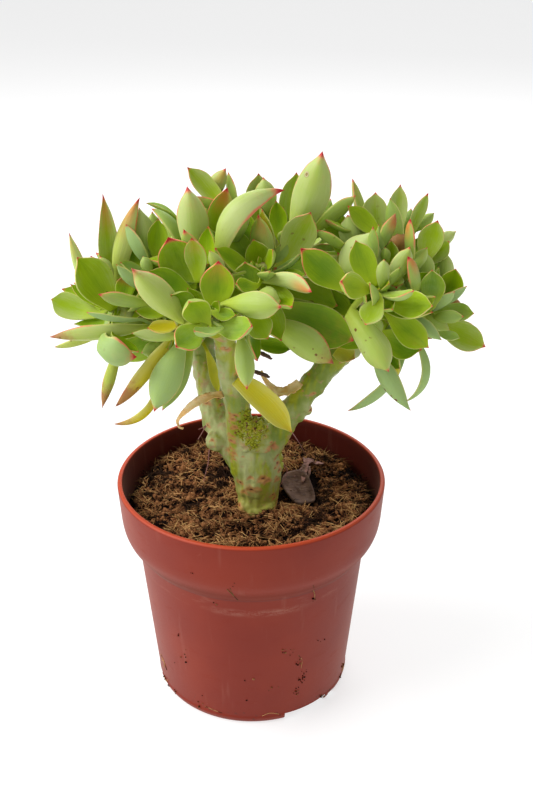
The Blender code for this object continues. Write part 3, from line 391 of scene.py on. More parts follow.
# Leaves seen from the front. A row gives the name, root and tip as across, down and depth in the view, width,
# bow, and facing in degrees: at 0 the upper side is toward the viewer, at 180 the underside. Then comes what
# sets the leaf apart from the rule: peak, how far along it is widest; blunt, how full its end is; neck, its
# width where it starts; slim, how much of its width shows; tone, from 0, deep green, to 1, pale; blush, how
# red the rim and tip are; gold; bloom; brown, from the tip downward; flush, the orange in the blade's middle.
shownRows = """
left_spire 108 287 2 102.5 193 -2 7.4 .03 12 peak=.45 tone=.75 blush=1 flush=.8
left_fold 117 286 0 140 197 4 8.5 .12 140 peak=.48 tone=.8 blush=1 gold=.25 flush=.9
left_thin 90 293 0 69 232 4 5 .06 150 peak=.42 tone=.85 blush=.9 flush=.5
left_broad 113 308 -14 77 257 -20 14 .08 10 peak=.55 tone=.4 blush=.3
left_behind 112 287 -6 100 256 -4 5.6 .05 180 tone=.8
left_blunt 100 315 -12 51 299 -10 9.5 .08 15 peak=.66 blunt=3 tone=.68 blush=.1
left_filler 105 309 -11 70 284 -10 5 .06 30
left_near 150 304 -20 98 294 -30 6.5 .06 130 blush=.8
left_blotch 122 302 -18 127 274 -20 8 .06 0 slim=.85 brown=.4 flush=1
left_blue_up 145 291 -18 116 264 -24 5 .06 140 bloom=.95
left_strip 152 277 -8 120 262 -12 5 .06 50 tone=.2 bloom=.7
left_small 151 274 -10 143 256 -10 4.2 .06 180 bloom=.6
mid_pale 182 321 -38 131 268 -46 12 .06 170 slim=.8 peak=.5 tone=.75 blush=.8 gold=.2 brown=.2
left_pointer 184 232 10 145.5 203 6 5 -.14 80
left_pointer_low 182 260 0 151 208.5 2 8 .18 -110
left_round 148 272 4 139 207 4 10 .05 180 tone=.85 blush=.1
left_up 158 264 0 158 218 2 7.5 .06 0 tone=.35
left_up_back 156 258 6 152 211 8 7 .05 160
left_blue_edge 150 266 -4 126 224 -2 7 .06 120 bloom=.9
left_grey 140 319 -20 86 312 -26 5 .05 100 bloom=.9
left_green 115 321 -14 73 324 -14 4.5 .04 50 tone=.25
left_long 150 327 -18 48.5 337 -20 7 .05 140 tone=.75 blush=.9 gold=.2 brown=.3
left_under 102 333 -6 54 347 -4 5 .04 110 gold=.3 brown=.2
left_cup 104 337 -22 137 357 -32 12 .3 -130 blush=.9 bloom=.8
left_cup_in 112 334 -22 139 352 -26 6 .1 -60
left_hang 122 338 -8 102 409 -8 4.6 .03 165 blush=.9 gold=.3 brown=.4
left_gold 174 334 -16 115 407 -26 9 .03 110 peak=.5 gold=.75 brown=.42
left_gold_tip 160 372 -12 113 424 -16 5.2 .26 115 gold=.9 brown=.35
left_bluish 183 342 -20 154 412 -32 11 .04 185 peak=.55 tone=.5 blush=.6 bloom=.8
left_dark 192 346 -14 162 411 -24 8 .04 150 tone=.15
left_lower_pale 180 337 -22 131 333 -26 5.5 .05 140 tone=.7
left_golden 180 324 -24 147 328 -30 5.5 .05 30 gold=.85
left_small_dark 165 315 -22 135 311 -24 5 .05 30
left_olive 172 347 -14 141 353 -16 6.4 .06 165 tone=.2
left_inner 146 309 -8 94 316 -8 9 .06 10 tone=.25
left_inner_low 150 328 -8 104 328 -8 8 .06 20 tone=.3
front_back 215 312 -36 218.5 260.7 -36 13 .1 0 slim=.88 tone=.26 blush=.9 flush=.6
front_back_left 197 314 -36 171 295 -44 8.5 .1 0
front_left 208 327 -42 189 302 -50 9.5 .14 -10 tone=.35
front_right 216 328 -42 252 325 -52 8.5 .14 -25 blush=.6 bloom=.55
front_edge 222 328 -46 193.5 330.5 -56 5.5 .1 65 bloom=.7
front_dark 212 313 -40 236 315 -44 5.5 .1 -25 slim=.92 tone=.15
front_low_left 202 328 -44 176 347 -54 9.5 .1 10 blush=.75 bloom=.5
front_reach 226 304 -38 282 307 -48 9.2 .05 -165 tone=.5 blush=.6
front_round 252 300 -36 281 301 -38 11 .08 165 tone=.6
mid_hang 240 334 -32 247 390 -42 8 .06 170 slim=.85 tone=.55 blush=.9 bloom=.5
heart_small 258 286 -32 236 283 -38 5.5 .12 30 tone=.15
heart_face 250 294 -26 245 262 -28 10.8 .1 0 tone=.15 flush=.1
heart_left 262 280 -18 253 239 -20 9 .08 0 tone=.4
heart_up 263 276 -14 258 214 -14 8.2 .05 180 tone=.6 blush=.8 flush=.6
heart_up_side 268 272 -12 262 209 -10 8 .06 -30 flush=.5
heart_right_up 284 262 -14 311 212 -16 12 .1 10 peak=.52 tone=.7 blush=.45 bloom=.15
heart_blade 268 273 -20 302 252 -22 5 .08 -80 bloom=.7
heart_blade_up 270 270 -14 290 240 -12 5.5 .08 180
heart_pink 262 281 -28 312 292.5 -42 7.2 -.1 -140 peak=.6 tone=1 blush=.75 flush=1
mid_concave 190 296 -26 168 237 -28 13.5 .1 0 tone=.3 blush=1.3
mid_dark_low 196 300 -30 146 272 -34 9 .08 10 tone=0
mid_upright 196 266 -12 187 186 -10 11 .04 180 tone=.9 blush=.9
mid_left_low 207 272 -20 183.5 229 -26 6.5 .06 150 blush=1
mid_slot 198 282 -28 191.5 237.5 -32 7.5 .08 -15 tone=.65 blush=.9 flush=.5
mid_pin 224 276 -30 209 250 -32 4.8 .05 160 tone=.6
mid_spear 228 212 -2 187 167 2 8 .06 30 tone=.62 blush=.7
mid_short 206 205 6 226 168 6 6 .05 180 tone=.75 blush=.9 flush=.6
mid_slim 240 220 6 228.5 172 8 6.5 .05 110 tone=.45
mid_brown_tip 230 212 0 193 196 -4 5.5 .05 130 blush=1.2 brown=.3
mid_dark_tip 212 250 -8 227.5 187 -8 9 .05 20 blush=1 flush=1
mid_arch 222 264 -18 285 190 -14 12 .33 130 slim=.94 peak=.48 tone=.9 blush=1.2
tall_left_a 258 222 10 258.5 173 10 10 .06 0 tone=.85
tall_left_b 270 218 8 263.5 177 8 8 .06 180 tone=.8
tall_leaf 294 240 -4 322.5 151 -6 14 .03 180 slim=.92 peak=.52 tone=.72 blush=.8 bloom=.15
tall_behind 287 238 4 296.5 172 6 10.5 .06 0 tone=.7
tall_inner 282 244 -2 276 200 0 6.5 .08 0
tall_right 312 232 2 356 195 2 7.5 .05 -130 tone=.5
tall_right_stub 318 228 8 331 198.5 10 5 .05 180
side_dark 270 306 -16 354 341 -24 14.5 .04 0 peak=.64 blunt=2.2 tone=0 blush=.35 bloom=.1 flush=.3
side_red 270 320 -22 334 364 -32 11.5 .03 -160 tone=.55 blush=.9 gold=.1 brown=.25
side_small 250 312 -30 268 339 -38 9 .08 0
side_short 248 339 -18 292 349 -14 6.5 .04 -30
side_band 282 296 -10 331 311 -14 6 .05 -110
side_back 282 284 -4 338 306 -8 13 .05 0 tone=.3
right_hollow 349 289 -22 300.7 248 -30 13.5 .1 0 slim=.8 peak=.52 tone=.08 blush=.9
right_big_pale 345 286 -16 373 231 -14 15 .06 180 tone=.9
right_back_pale 360 256 -4 347.5 214.5 -4 9.5 .05 180 tone=.85
right_face_up 374 287 -26 355.5 240 -26 9 .08 0 tone=.2
right_pin 374 270 -18 373 226 -18 4.5 .04 150 blush=.9
right_pin_back 380 264 -14 378.5 224 -14 4 .04 180
right_oval 369 290 -34 341 281 -42 9 .1 20 tone=.4
right_small_oval 381 290 -26 384 259 -28 4.8 .06 180 tone=.75
right_mid_small 392 272 -14 391 240 -14 5.5 .08 -20
right_bud 387 264 -16 385 247 -18 3.5 .06 180
right_inner 390 284 -20 410 246.5 -22 7.5 .06 -150 tone=.7
right_inner_low 386 287 -22 400 267 -24 4.5 .06 -120
right_edge_up 371 309 -32 369 283 -36 5 .16 -100
right_oval_low 381 299 -34 365 325 -40 8.5 .08 20
right_edge 378 293 -28 414 290 -40 6 .12 -70 blush=.6 bloom=.6
right_fold 388 303 -26 433 306 -38 9.5 .06 -10 tone=.3
right_slab 388 313 -24 429 348 -34 9.8 .05 0 tone=.3
right_bluish 408 313 -20 442 340.5 -28 5.5 .04 -150 bloom=.9
right_brown_low 412 322 -16 432 339 -22 4.5 .04 180 brown=.7
right_far_tip 437 324 -12 485.7 347 -18 10.5 .06 -20 tone=.58
right_far_small 438 333 -20 460 338 -26 4 .06 -30 bloom=.7
right_far_thin 440 320 -8 477 328 -12 4.5 .05 -150 tone=.6
right_far_mid 436 312 -10 474.5 313.5 -16 7 .08 -20 tone=.5 bloom=.6
right_far_in 432 318 -16 464 316.5 -22 5 .06 -160
right_blue_wing 436 308 -10 467.5 285.5 -14 4.8 .06 -130 bloom=.85
right_blue_in 432 311 -14 455 291 -20 4.8 .06 -140 bloom=.85
right_brown_end 440 300 0 463 308 -2 5 .05 -150 brown=.8
right_wing_up 446 303 -10 455.5 268.5 -12 8.8 .1 -10 tone=.25 blush=.3
right_wing_in 432 307 -18 432 269.5 -20 8.8 .1 0 bloom=.5
right_wing_tri 444 292 -2 446.5 252 0 6.5 .06 180 tone=.6
right_wing_back 426 252 4 456.5 231 6 5 .05 -160 tone=.9
right_wing_b 424 264 0 449.5 241 0 7.5 .08 -20 tone=.6
right_crown_a 424 264 -6 438 220 -6 9 .1 0 tone=.55 blush=.6
right_crown_a2 412 232 4 434.5 212.5 6 4.2 .05 170
right_crown_b 408 240 0 428.5 192.5 2 5.2 .06 30 tone=.7 blush=1
right_crown_round 408 242 6 411 208 8 6.5 .06 180
right_crown_c 397 242 0 400.5 184 2 7 .06 0 tone=.85
right_crown_c2 401 248 -6 390 197.5 -4 6.5 .06 150
right_crown_d 376 242 2 375.5 192 4 9 .06 0 tone=.85
right_crown_e 374 242 4 352.5 178 8 6 .05 60 tone=.75 blush=.7 flush=.4
right_crown_f 380 236 -6 347.5 205.5 -6 7.2 .08 20 tone=.4
right_crown_g 378 252 -12 395.5 213 -14 6.5 .05 -130 blush=1 brown=.3 flush=1
right_crown_h 412 262 -12 410.5 218.5 -16 7 .05 110 blush=1 flush=1
right_crown_i 415 296 -20 407.5 256 -28 7 .06 -110 blush=1 flush=.9
right_crown_j 408 278 -12 427.5 247 -14 5 .06 -160
right_tri 428 288 -10 426 252 -8 6 .06 180 tone=.6
right_old 399 256 -8 397 231 -6 9 .05 180 brown=1
right_dark_mid 418 290 -16 428.5 272 -16 6 .08 0 tone=.1
right_left_tip 356 232 -4 325 219.5 -8 5.5 .05 80 brown=.3
right_left_low 347 248 -10 315.5 229.5 -14 6 .05 115 blush=.9
right_hang 350 313 -28 389 372 -40 12 .06 180 slim=.84 peak=.62 blunt=2.3 neck=.5 tone=.62 blush=.4
right_dark 382 334 -20 422 350 -28 11.5 .06 10 tone=.05
right_dark_low 378 345 -18 400 369 -26 7 .05 20 tone=.05
right_drop 374 350 -22 411 411 -30 8 .12 -150 peak=.42 bloom=.9
right_hook 415 338 -16 405 402 -16 6 .24 110 bloom=.8
right_hook_far 406 348 -12 347 411 -16 6 .14 110 bloom=.9 brown=.15
right_yellow_low 398 358 -18 393 381 -18 4 .04 180 gold=.9
right_under_small 372 312 -26 376 338 -30 6 .06 180
right_low_pale 424 316 -16 450 331 -18 4.5 .05 180
"""

# Leaves behind the shown ones that close the views through them, and one that hangs by the left branch.
fillRows = """
right_fill 352 314 -6 318 288 0 10 .05 10 tone=.15 blush=.2 gold=.1
right_fill_low 352 322 -7 332 316 -3 6.5 .05 20 tone=.15 blush=.2 gold=.1
right_fill_in 374 314 -2 344 297 2 8 .05 10 tone=.15 blush=.2 gold=.1
right_fill_up 350 264 -1 331 207 6 9.5 .05 10 tone=.15 blush=.2 gold=.1
left_fill 139 278 -4 128 236 2 8 .05 10 tone=.15 blush=.2 gold=.1
left_sliver 207 350 2 218.5 394 1 4.2 .03 10 tone=.5 blush=.2 gold=.55
"""
leafLooks = {
    "leaf_yellow": {"peak": 0.42, "blunt": 3.2, "neck": 0.62},
    "leaf_yellow_small": {"neck": 0.6, "slim": 1.35, "brown": 0.22},
}


def readLeaves(rows):
    made = {}
    for row in rows.strip().splitlines():
        name, *words = row.split()
        head = {"left": "left", "right": "right"}.get(name.split("_")[0], "middle")
        numbers = [float(word) for word in words[:9]]
        leafLooks[name] = {key: float(value) for key, value in (word.split("=") for word in words[9:])}
        made[name] = (head, numbers[:3], numbers[3:6], *numbers[6:])
    return made


shownLeaves = readLeaves(shownRows)
fillLeaves = readLeaves(fillRows)

# The foliage's outline in the view, which the leaves placed by rule keep within.
outline = (
    (49, 300), (60, 284), (72, 270), (66, 232), (88, 256), (96, 226), (102, 192), (113, 226), (138, 196),
    (180, 206), (187, 184), (194, 196), (204, 198), (187, 167), (212, 178), (226, 168), (229, 172),
    (240, 191), (258, 172), (272, 184), (281, 186), (297, 171), (300, 180), (322, 150), (329, 190),
    (350, 195), (352, 178), (366, 204), (375, 191), (388, 202), (400, 184), (405, 214), (414, 208),
    (428, 192), (425, 214), (434, 213), (440, 230), (456, 231), (446, 242), (440, 256), (447, 252),
    (449, 268), (456, 268), (461, 286), (467, 286), (457, 300), (474, 313), (466, 324), (486, 347),
    (470, 353), (442, 342), (420, 350), (392, 366), (350, 350), (334, 363), (300, 357), (283, 350),
    (247, 388), (236, 350), (220, 336), (196, 372), (154, 412), (115, 407), (100, 404), (112, 366),
    (100, 352), (54, 347), (49, 337), (73, 326), (84, 314),
)

# The space each head fills: middle and half sizes.
headSpace = {
    "left": ((-36, 12, 166), (39, 50, 40)),
    "middle": ((0, 6, 180), (40, 56, 36)),
    "right": ((56, 4, 168), (35, 46, 36)),
}

# Branches and stub: across, down and depth in the view, and radius.
branches = {
    "left": (
        (243, 458, -5, 6.6), (226, 434, -1, 5.8), (215, 416, 3, 5.2), (211, 396, 7, 5.1),
        (207, 372, 10, 4.9), (203, 352, 12, 4.8),
    ),
    "middle": (
        (247, 458, -8, 6.2), (240, 432, -9, 5.0), (237, 404, -11, 4.7), (231, 380, -13, 4.2),
        (227, 356, -15, 4.0), (225, 340, -17, 3.9),
    ),
    "right": (
        (256, 458, -5, 8.0), (274, 432, -5, 6.2), (297, 403, -4, 4.7), (326, 368, -3, 4.5),
        (342, 353, -2, 4.5),
    ),
}
stub = ((234, 443, -3, 4.4), (222, 443, -4, 3.6), (214, 443, -5, 2.8))

# Leaves that stand alone on a branch: branch, root, tip, upper side, width, bow and roll.
loneLeaves = {
    "leaf_yellow": ("middle", (240, 382, -19.5), (292, 433, -27.0), (0.2, -0.8, 0.55), 9.2, -0.06, 0),
    "leaf_curled": ("middle", (222, 394, -13.0), (178, 424, -14.0), (-0.2, -0.5, 1.0), 5.0, -0.18, 30),
    "leaf_tan": ("right", (294, 388, -6.0), (270, 391, -6.0), (0.0, -0.6, 1.0), 4.5, 0.16, 0),
    "leaf_yellow_small": ("right", (334, 350, -8.0), (355, 359, -14.0), (0.0, -0.8, 0.6), 5.5, 0.0, 0),
}

trunk = {"x": 2.4, "y": -6.5, "radius": 7.8, "bottom": 62.0}
airGap = 0.3
leafThickness = 0.36  # of the width

# Rings of a rough leaf, which the placing by rule tests: place along it, width and thickness.
roughRings = ((0.0, 0.32, 0.6), (0.3, 0.78, 1.0), (0.6, 1.0, 0.95), (0.86, 0.6, 0.6))
roughSmallRings = ((0.0, 0.3, 0.6), (0.52, 1.0, 1.0), (0.85, 0.62, 0.6))

# What a leaf tries in turn: change of turn and lean in degrees, and of length.
tries = (
    (0, 0, 1.0), (14, 0, 1.0), (-14, 0, 1.0), (0, -12, 1.0), (0, 12, 1.0), (26, 0, 0.9), (-26, 0, 0.9),
    (12, -16, 0.85), (-12, -16, 0.85), (12, 16, 0.85), (-12, 16, 0.85), (0, 0, 0.7), (20, 0, 0.65),
    (-20, 0, 0.65),
)


def roughShell(rings, sides, lastPoint=False):
    faces = [(0, i + 1, i) for i in range(1, sides - 1)]
    for a, b, c, d in bands(rings, sides):
        faces += [(a, b, c), (a, c, d)]
    top = (rings - 1) * sides
    if lastPoint:
        return faces + fan(top, sides, top + sides)
    return faces + [(top, top + i, top + i + 1) for i in range(1, sides - 1)]


def roughTube(stations, sides=10):
    points = []
    places = [place for place, radius in stations]
    guide = Vector((1.0, 0.0, 0.0))
    for k, (place, radius) in enumerate(stations):
        ahead = aheadAt(places, k)
        across = (guide - ahead * guide.dot(ahead)).normalized()
        square = ahead.cross(across)
        for i in range(sides):
            angle = 2 * pi * i / sides
            points.append(place + across * (radius * cos(angle)) + square * (radius * sin(angle)))
    return points, roughShell(len(stations), sides)


def leafFrame(leaf, s):  # place, upper normal and side on the midline, s from 0 at the root to 1
    along = leaf["tip"] - leaf["root"]
    length = along.length
    heading = along / length
    upper = leaf["up"] - heading * leaf["up"].dot(heading)
    upper.normalize()
    upper.rotate(Quaternion(heading, radians(leaf["roll"])))
    sag = 4 * leaf["bow"] * length
    place = leaf["root"] + along * s - upper * (sag * s * (1 - s))
    heading = along - upper * (sag * (1 - 2 * s))
    heading.normalize()
    normal = upper - heading * upper.dot(heading)
    normal.normalize()
    return place, normal, heading.cross(normal)


def stalkForm(leaf):  # where a leaf's stalk starts: side, normal and half width
    along = (leaf["root"] - leaf["anchor"]).normalized()
    side = leafFrame(leaf, 0.0)[2]
    side = (side - along * side.dot(along)).normalized()
    return side, side.cross(along), max(0.8, leaf["width"] * 0.12)


def roughLeaf(leaf, first=0):
    points = []
    broad = leaf["name"] in shownLeaves and leaf["width"] > 5.0
    if first == 0 and "anchor" in leaf:
        side, normal, half = stalkForm(leaf)
        for across, up in ((1, 0.5), (0, -0.9), (-1, 0.5)):
            points.append(leaf["anchor"] + side * (half * across) + normal * (half * up))
    for s, wide, thick in (roughRings if broad else roughSmallRings)[first:]:
        place, normal, side = leafFrame(leaf, s)
        half = leaf["width"] * wide / 2
        deep = leaf["width"] * leafThickness * thick
        points.append(place + side * half + normal * (deep * 0.35))
        points.append(place - normal * (deep * 0.62))
        points.append(place - side * half + normal * (deep * 0.35))
    points.append(leafFrame(leaf, 1.0)[0])
    return points, roughShell(len(points) // 3, 3, lastPoint=True)


def rosetteFrame(name):
    head, across, down, depth, axis, length, count = rosettes[name]
    return head, fromView(across, down, depth), Vector(axis).normalized(), length, count


def stalkStart(head, root, heading):  # distance, place, radius and rosette where a leaf's stalk best starts
    best = None
    for name in rosettes:
        if rosettes[name][0] != head:
            continue
        stations = twigStations(name)
        for (low, lowRadius), (high, highRadius) in zip(stations, stations[1:]):
            for share in (0.1, 0.35, 0.6, 0.85):
                place = low.lerp(high, share)
                away = root - place
                cost = away.length * (1.0 + max(0.0, 0.3 - away.normalized().dot(heading)))
                if best is None or cost < best[0]:
                    best = (cost, away.length, place, lowRadius + (highRadius - lowRadius) * share, name)
    return best[1:]


def shownLeaf(name, table=shownLeaves):
    head, rootSpot, tipSpot, width, bow, facing = table[name]
    root = fromView(*rootSpot)
    tip = fromView(*tipSpot)
    heading = (tip - root).normalized()
    toward = eye - (root + tip) / 2
    upper = (toward - heading * toward.dot(heading)).normalized()
    upper.rotate(Quaternion(heading, radians(facing)))
    distance, anchor, radius, rosette = stalkStart(head, root, heading)
    leaf = dict(
        name=name, rosette=rosette, head=head, root=root, tip=tip, up=upper, width=width, bow=bow, roll=0.0,
    )
    if distance > radius * 0.6:
        leaf["anchor"] = anchor
    return leaf


def aimedLeaf(rosette, angle, lean, length, width, drop, bow):
    head, centre, heading, longest, count = rosetteFrame(rosette)
    first = heading.orthogonal().normalized()
    outward = first * cos(angle) + heading.cross(first) * sin(angle)
    root = centre - heading * drop + outward * 0.8
    tip = root + (heading * cos(lean) + outward * sin(lean)) * length
    return dict(
        name=rosette, rosette=rosette, head=head, root=root, tip=tip, up=heading, width=width, bow=bow,
        roll=0.0,
    )


def inside(head, place):
    middle, half = headSpace[head]
    return sum(((place[i] - middle[i]) / half[i]) ** 2 for i in range(3)) < 1.0


def touchTree(points, faces):
    return BVHTree.FromPolygons(points, faces, all_triangles=True, epsilon=0.45)


def inOutline(place):
    across, down = toView(place)
    within = False
    for (x, y), (nextX, nextY) in zip(outline, outline[1:] + outline[:1]):
        if (y > down) != (nextY > down) and across < x + (down - y) * (nextX - x) / (nextY - y):
            within = not within
    return within


class Growth:  # the leaves accepted so far, what they stay clear of and what they leave in sight
    def __init__(self, fixed):
        self.leaves = []
        self.fixed = fixed
        self.shapes = []
        self.sights = []

    def watch(self, leaf):
        for s, across in ((0.3, 0.0), (0.55, -0.3), (0.55, 0.3), (0.8, -0.2), (0.8, 0.2), (0.96, 0.0)):
            place, normal, side = leafFrame(leaf, s)
            spot = place + side * (across * leaf["width"])
            self.sights.append((spot, (eye - spot).normalized()))

    def hides(self, leaf, whole):
        middle = (leaf["root"] + leaf["tip"]) / 2
        reach = (leaf["root"] - leaf["tip"]).length / 2 + leaf["width"] / 2
        for spot, way in self.sights:
            away = middle - spot
            along = away.dot(way)
            if along > -reach and (away - way * along).length < reach and whole.ray_cast(spot, way)[0]:
                return True
        return False

    def shape(self, leaf):
        points, faces = roughLeaf(leaf)
        middle = (leaf["root"] + leaf["tip"]) / 2
        reach = max((point - middle).length for point in points)
        return leaf["head"], middle, reach, touchTree(points, faces), touchTree(*roughLeaf(leaf, 1))

    def clear(self, leaf):
        shape = self.shape(leaf)
        own, middle, reach, whole, outer = shape
        for owner, other in self.fixed:
            if owner != own and whole.overlap(other):
                return None
        for head, otherMiddle, otherReach, otherWhole, otherOuter in self.shapes:
            if (otherMiddle - middle).length > reach + otherReach:
                continue
            if whole.overlap(otherWhole) if head != own else outer.overlap(otherOuter):
                return None
        return None if self.hides(leaf, whole) else shape

    def add(self, leaf, shape):
        self.leaves.append(leaf)
        self.shapes.append(shape)

    def tryLeaf(self, rosette, angle, lean, length, width, drop):
        for turn, tilt, scale in tries:
            leaf = aimedLeaf(
                rosette, angle + radians(turn), lean + radians(tilt), length * scale, width * scale, drop,
                growthForm["bow"],
            )
            if inside(leaf["head"], leaf["tip"]) and all(inOutline(point) for point in roughLeaf(leaf, 1)[0]):
                shape = self.clear(leaf)
                if shape:
                    self.add(leaf, shape)
                    return


growthForm = {
    "seed": 11,
    "lean": (14, 70),  # degrees: the youngest leaf's, and how much more the oldest has
    "leanVaries": 5,
    "length": (0.42, 0.58),  # of the longest: the youngest leaf's, and how much more the oldest has
    "lengthVaries": (0.88, 1.06),
    "width": (0.36, 0.43),  # of the length
    "widest": 13.0,
    "drop": 8.0,  # how far below the growing point the oldest starts
    "bow": 0.08,  # of the length
}


def growLeaves(fixed):
    growth = Growth(fixed)
    for name in shownLeaves:
        leaf = shownLeaf(name)
        growth.add(leaf, growth.shape(leaf))
        growth.watch(leaf)
    form = growthForm
    draw = random.Random(form["seed"])
    for rosette, (head, across, down, depth, axis, longest, count) in rosettes.items():
        start = draw.uniform(0, 2 * pi)
        for i in range(count):
            age = 1.0 - i / count
            lean, more = form["lean"]
            lean = radians(lean + more * age ** 0.8 + draw.uniform(-form["leanVaries"], form["leanVaries"]))
            share, more = form["length"]
            length = longest * (share + more * age ** 0.6) * draw.uniform(*form["lengthVaries"])
            width = min(form["widest"], length * draw.uniform(*form["width"]))
            growth.tryLeaf(rosette, start + i * goldenTurn, lean, length, width, form["drop"] * age)
    return growth


def viewStations(stations):
    return [(fromView(across, down, depth), radius) for across, down, depth, radius in stations]


def headBase(head):
    (before, thick), (place, radius) = viewStations(branches[head][-2:])
    return place, (place - before).normalized(), radius


def twigStations(rosette):
    head, centre, heading, length, count = rosetteFrame(rosette)
    place, way, radius = headBase(head)
    start = place + way * 5.0
    bend = centre - heading * 12.0
    middle = (start + bend) / 2 + way * 4.0
    return [
        (start, radius * 0.85), (middle, radius * 0.8), (bend, 3.8), (centre, 2.9),
        (centre + heading * 2.5, 1.2),
    ]


def trunkPaths():
    x, y, radius = trunk["x"], trunk["y"], trunk["radius"]
    rise = [
        (Vector((x, y, trunk["bottom"])), radius), (Vector((x, y, 85.5)), radius),
        (Vector((x, y, 90.5)), 8.6), (Vector((x - 0.2, y, 96.0)), 9.3),
        (Vector((x - 1.4, y + 0.6, 101.5)), 9.5), (Vector((x - 2.4, y + 1.2, 106.5)), 9.4),
        (Vector((x - 2.6, y + 1.6, 110.5)), 7.4), (Vector((x - 2.6, y + 1.6, 112.5)), 4.0),
    ]
    return [rise, *[viewStations(branch) for branch in branches.values()], viewStations(stub)]


def nearestAxis(stations, place):
    best = None
    for (low, lowRadius), (high, highRadius) in zip(stations, stations[1:]):
        span = high - low
        share = clamp((place - low).dot(span) / span.length_squared)
        point = low + span * share
        distance = (place - point).length
        if best is None or distance < best[0]:
            best = (distance, point, lowRadius + (highRadius - lowRadius) * share)
    return best


def ownLeaves():
    made = {}
    for name, (branch, root, tip, up, width, bow, roll) in loneLeaves.items():
        leaf = dict(
            name=name, rosette=name, head=name, root=fromView(*root), tip=fromView(*tip),
            up=Vector(up), width=width, bow=bow, roll=roll,
        )
        stations = viewStations(branches[branch])
        for step in range(4):
            distance, axis, radius = nearestAxis(stations, leaf["root"])
            away = (leaf["root"] - axis).normalized()
            room = [nearestAxis(stations, point) for point in roughLeaf(leaf)[0]]
            least = min(distance - radius for distance, axis, radius in room)
            leaf["root"] = leaf["root"] + away * (airGap - least)
        made[name] = leaf
    return made


fixedShapes = [("stem", touchTree(*roughTube(stations, sides=14))) for stations in trunkPaths()]
fixedShapes += [(rosettes[name][0], touchTree(*roughTube(twigStations(name), sides=6))) for name in rosettes]
lonely = ownLeaves()
fixedShapes += [(name, touchTree(*roughLeaf(leaf))) for name, leaf in lonely.items()]
growth = growLeaves(fixedShapes)
print("grown", len(growth.leaves), "leaves")

leafForm = {
    "stations": (
        0.0, 0.05, 0.11, 0.18, 0.25, 0.32, 0.39, 0.46, 0.52, 0.58, 0.63, 0.68, 0.73,
        0.775, 0.815, 0.85, 0.88, 0.905, 0.93, 0.95, 0.968, 0.984,
    ),
    "section": (0, 9, 20, 36, 60, 90, 120, 144, 160, 171),  # degrees over the upper side, the same below
    "smallStations": (0.0, 0.15, 0.3, 0.45, 0.58, 0.7, 0.8, 0.88, 0.94, 0.975),
    "smallSection": (0, 14, 42, 90, 138, 166),
    "smallBelow": 13.0,  # length of the leaves that have fewer faces
    "stalkRings": 5,
    "peak": (0.5, 0.62),  # how far along a leaf is widest
    "hollow": (0.15, 0.45),  # of the upper side, in the leaf's thickness
    "cup": (0.06, 0.26),  # rise of the margins, in the half width
    "twist": 9.0,  # degrees either way
    "sway": 0.03,  # of the length, to one side
    "wave": 0.035,  # of the half width, along the margin
    "neck": 0.3,  # width where a leaf starts, of its width
}

# How red the rims and tips are, by growing point.
blushes = {"mid_front": 0.35, "mid_heart": 0.5, "left_low": 0.5, "right_low": 0.35}

# Marks on single leaves, as across, down and radius in pixels: scabs with a rim, brown and wine-red spots.
leafSpots = {
    "scab": ((306.6, 174.3, 2.8),),
    "spot": (
        (316, 355, 1.5), (355.5, 330, 1.6), (313, 349, 0.7), (60, 338, 0.9), (71, 341, 0.7), (322, 358, 0.8),
    ),
    "wine": (
        (385, 390, 1.6), (396, 400, 1.7), (405, 408, 1.8), (391, 396, 1.0), (379, 384, 0.9), (362, 320, 0.7),
    ),
}


def leafWidth(s, peak, blunt, neck):
    if s < peak:
        return neck + (1 - neck) * sin(pi / 2 * s / peak) ** 1.15
    share = (s - peak) / (1 - peak)
    return (1 - share ** blunt) * (1 - 0.4 * smooth(share, 0.6, 1.0))


def leafDepth(s):
    rise = 0.62 + 0.38 * smooth(s / 0.34)
    fall = (1 - clamp(s, 0.5, 0.99) ** 2.6) ** 0.7
    return max(rise * fall, 0.14 * (1 - s) / 0.08 if s > 0.92 else 0.0)


def stalkStations(leaf, rings):  # from the shoot to the root, bending into the leaf's own direction
    side, normal, half = stalkForm(leaf)
    root, rootNormal, rootSide = leafFrame(leaf, 0.0)
    span = root - leaf["anchor"]
    heading = rootNormal.cross(rootSide)
    bend = heading * (span.length * (0.1 + 0.3 * max(0.0, heading.dot(span.normalized()))))
    made = []
    for k in range(rings):
        t = k / rings
        place = leaf["anchor"] + span * t * t * (3 - 2 * t)
        place += span * (t - 2 * t * t + t ** 3) + bend * (t ** 3 - t * t)
        across = side.lerp(rootSide, t).normalized()
        up = normal.lerp(rootNormal, t)
        up = (up - across * up.dot(across)).normalized()
        wide = half + (leaf["width"] * 0.14 - half) * t
        deep = half * 1.4 + (leaf["width"] * leafThickness * 0.62 - half * 1.4) * t
        made.append((0.35 * (t - 1), place, up, across, wide, deep))
    return made


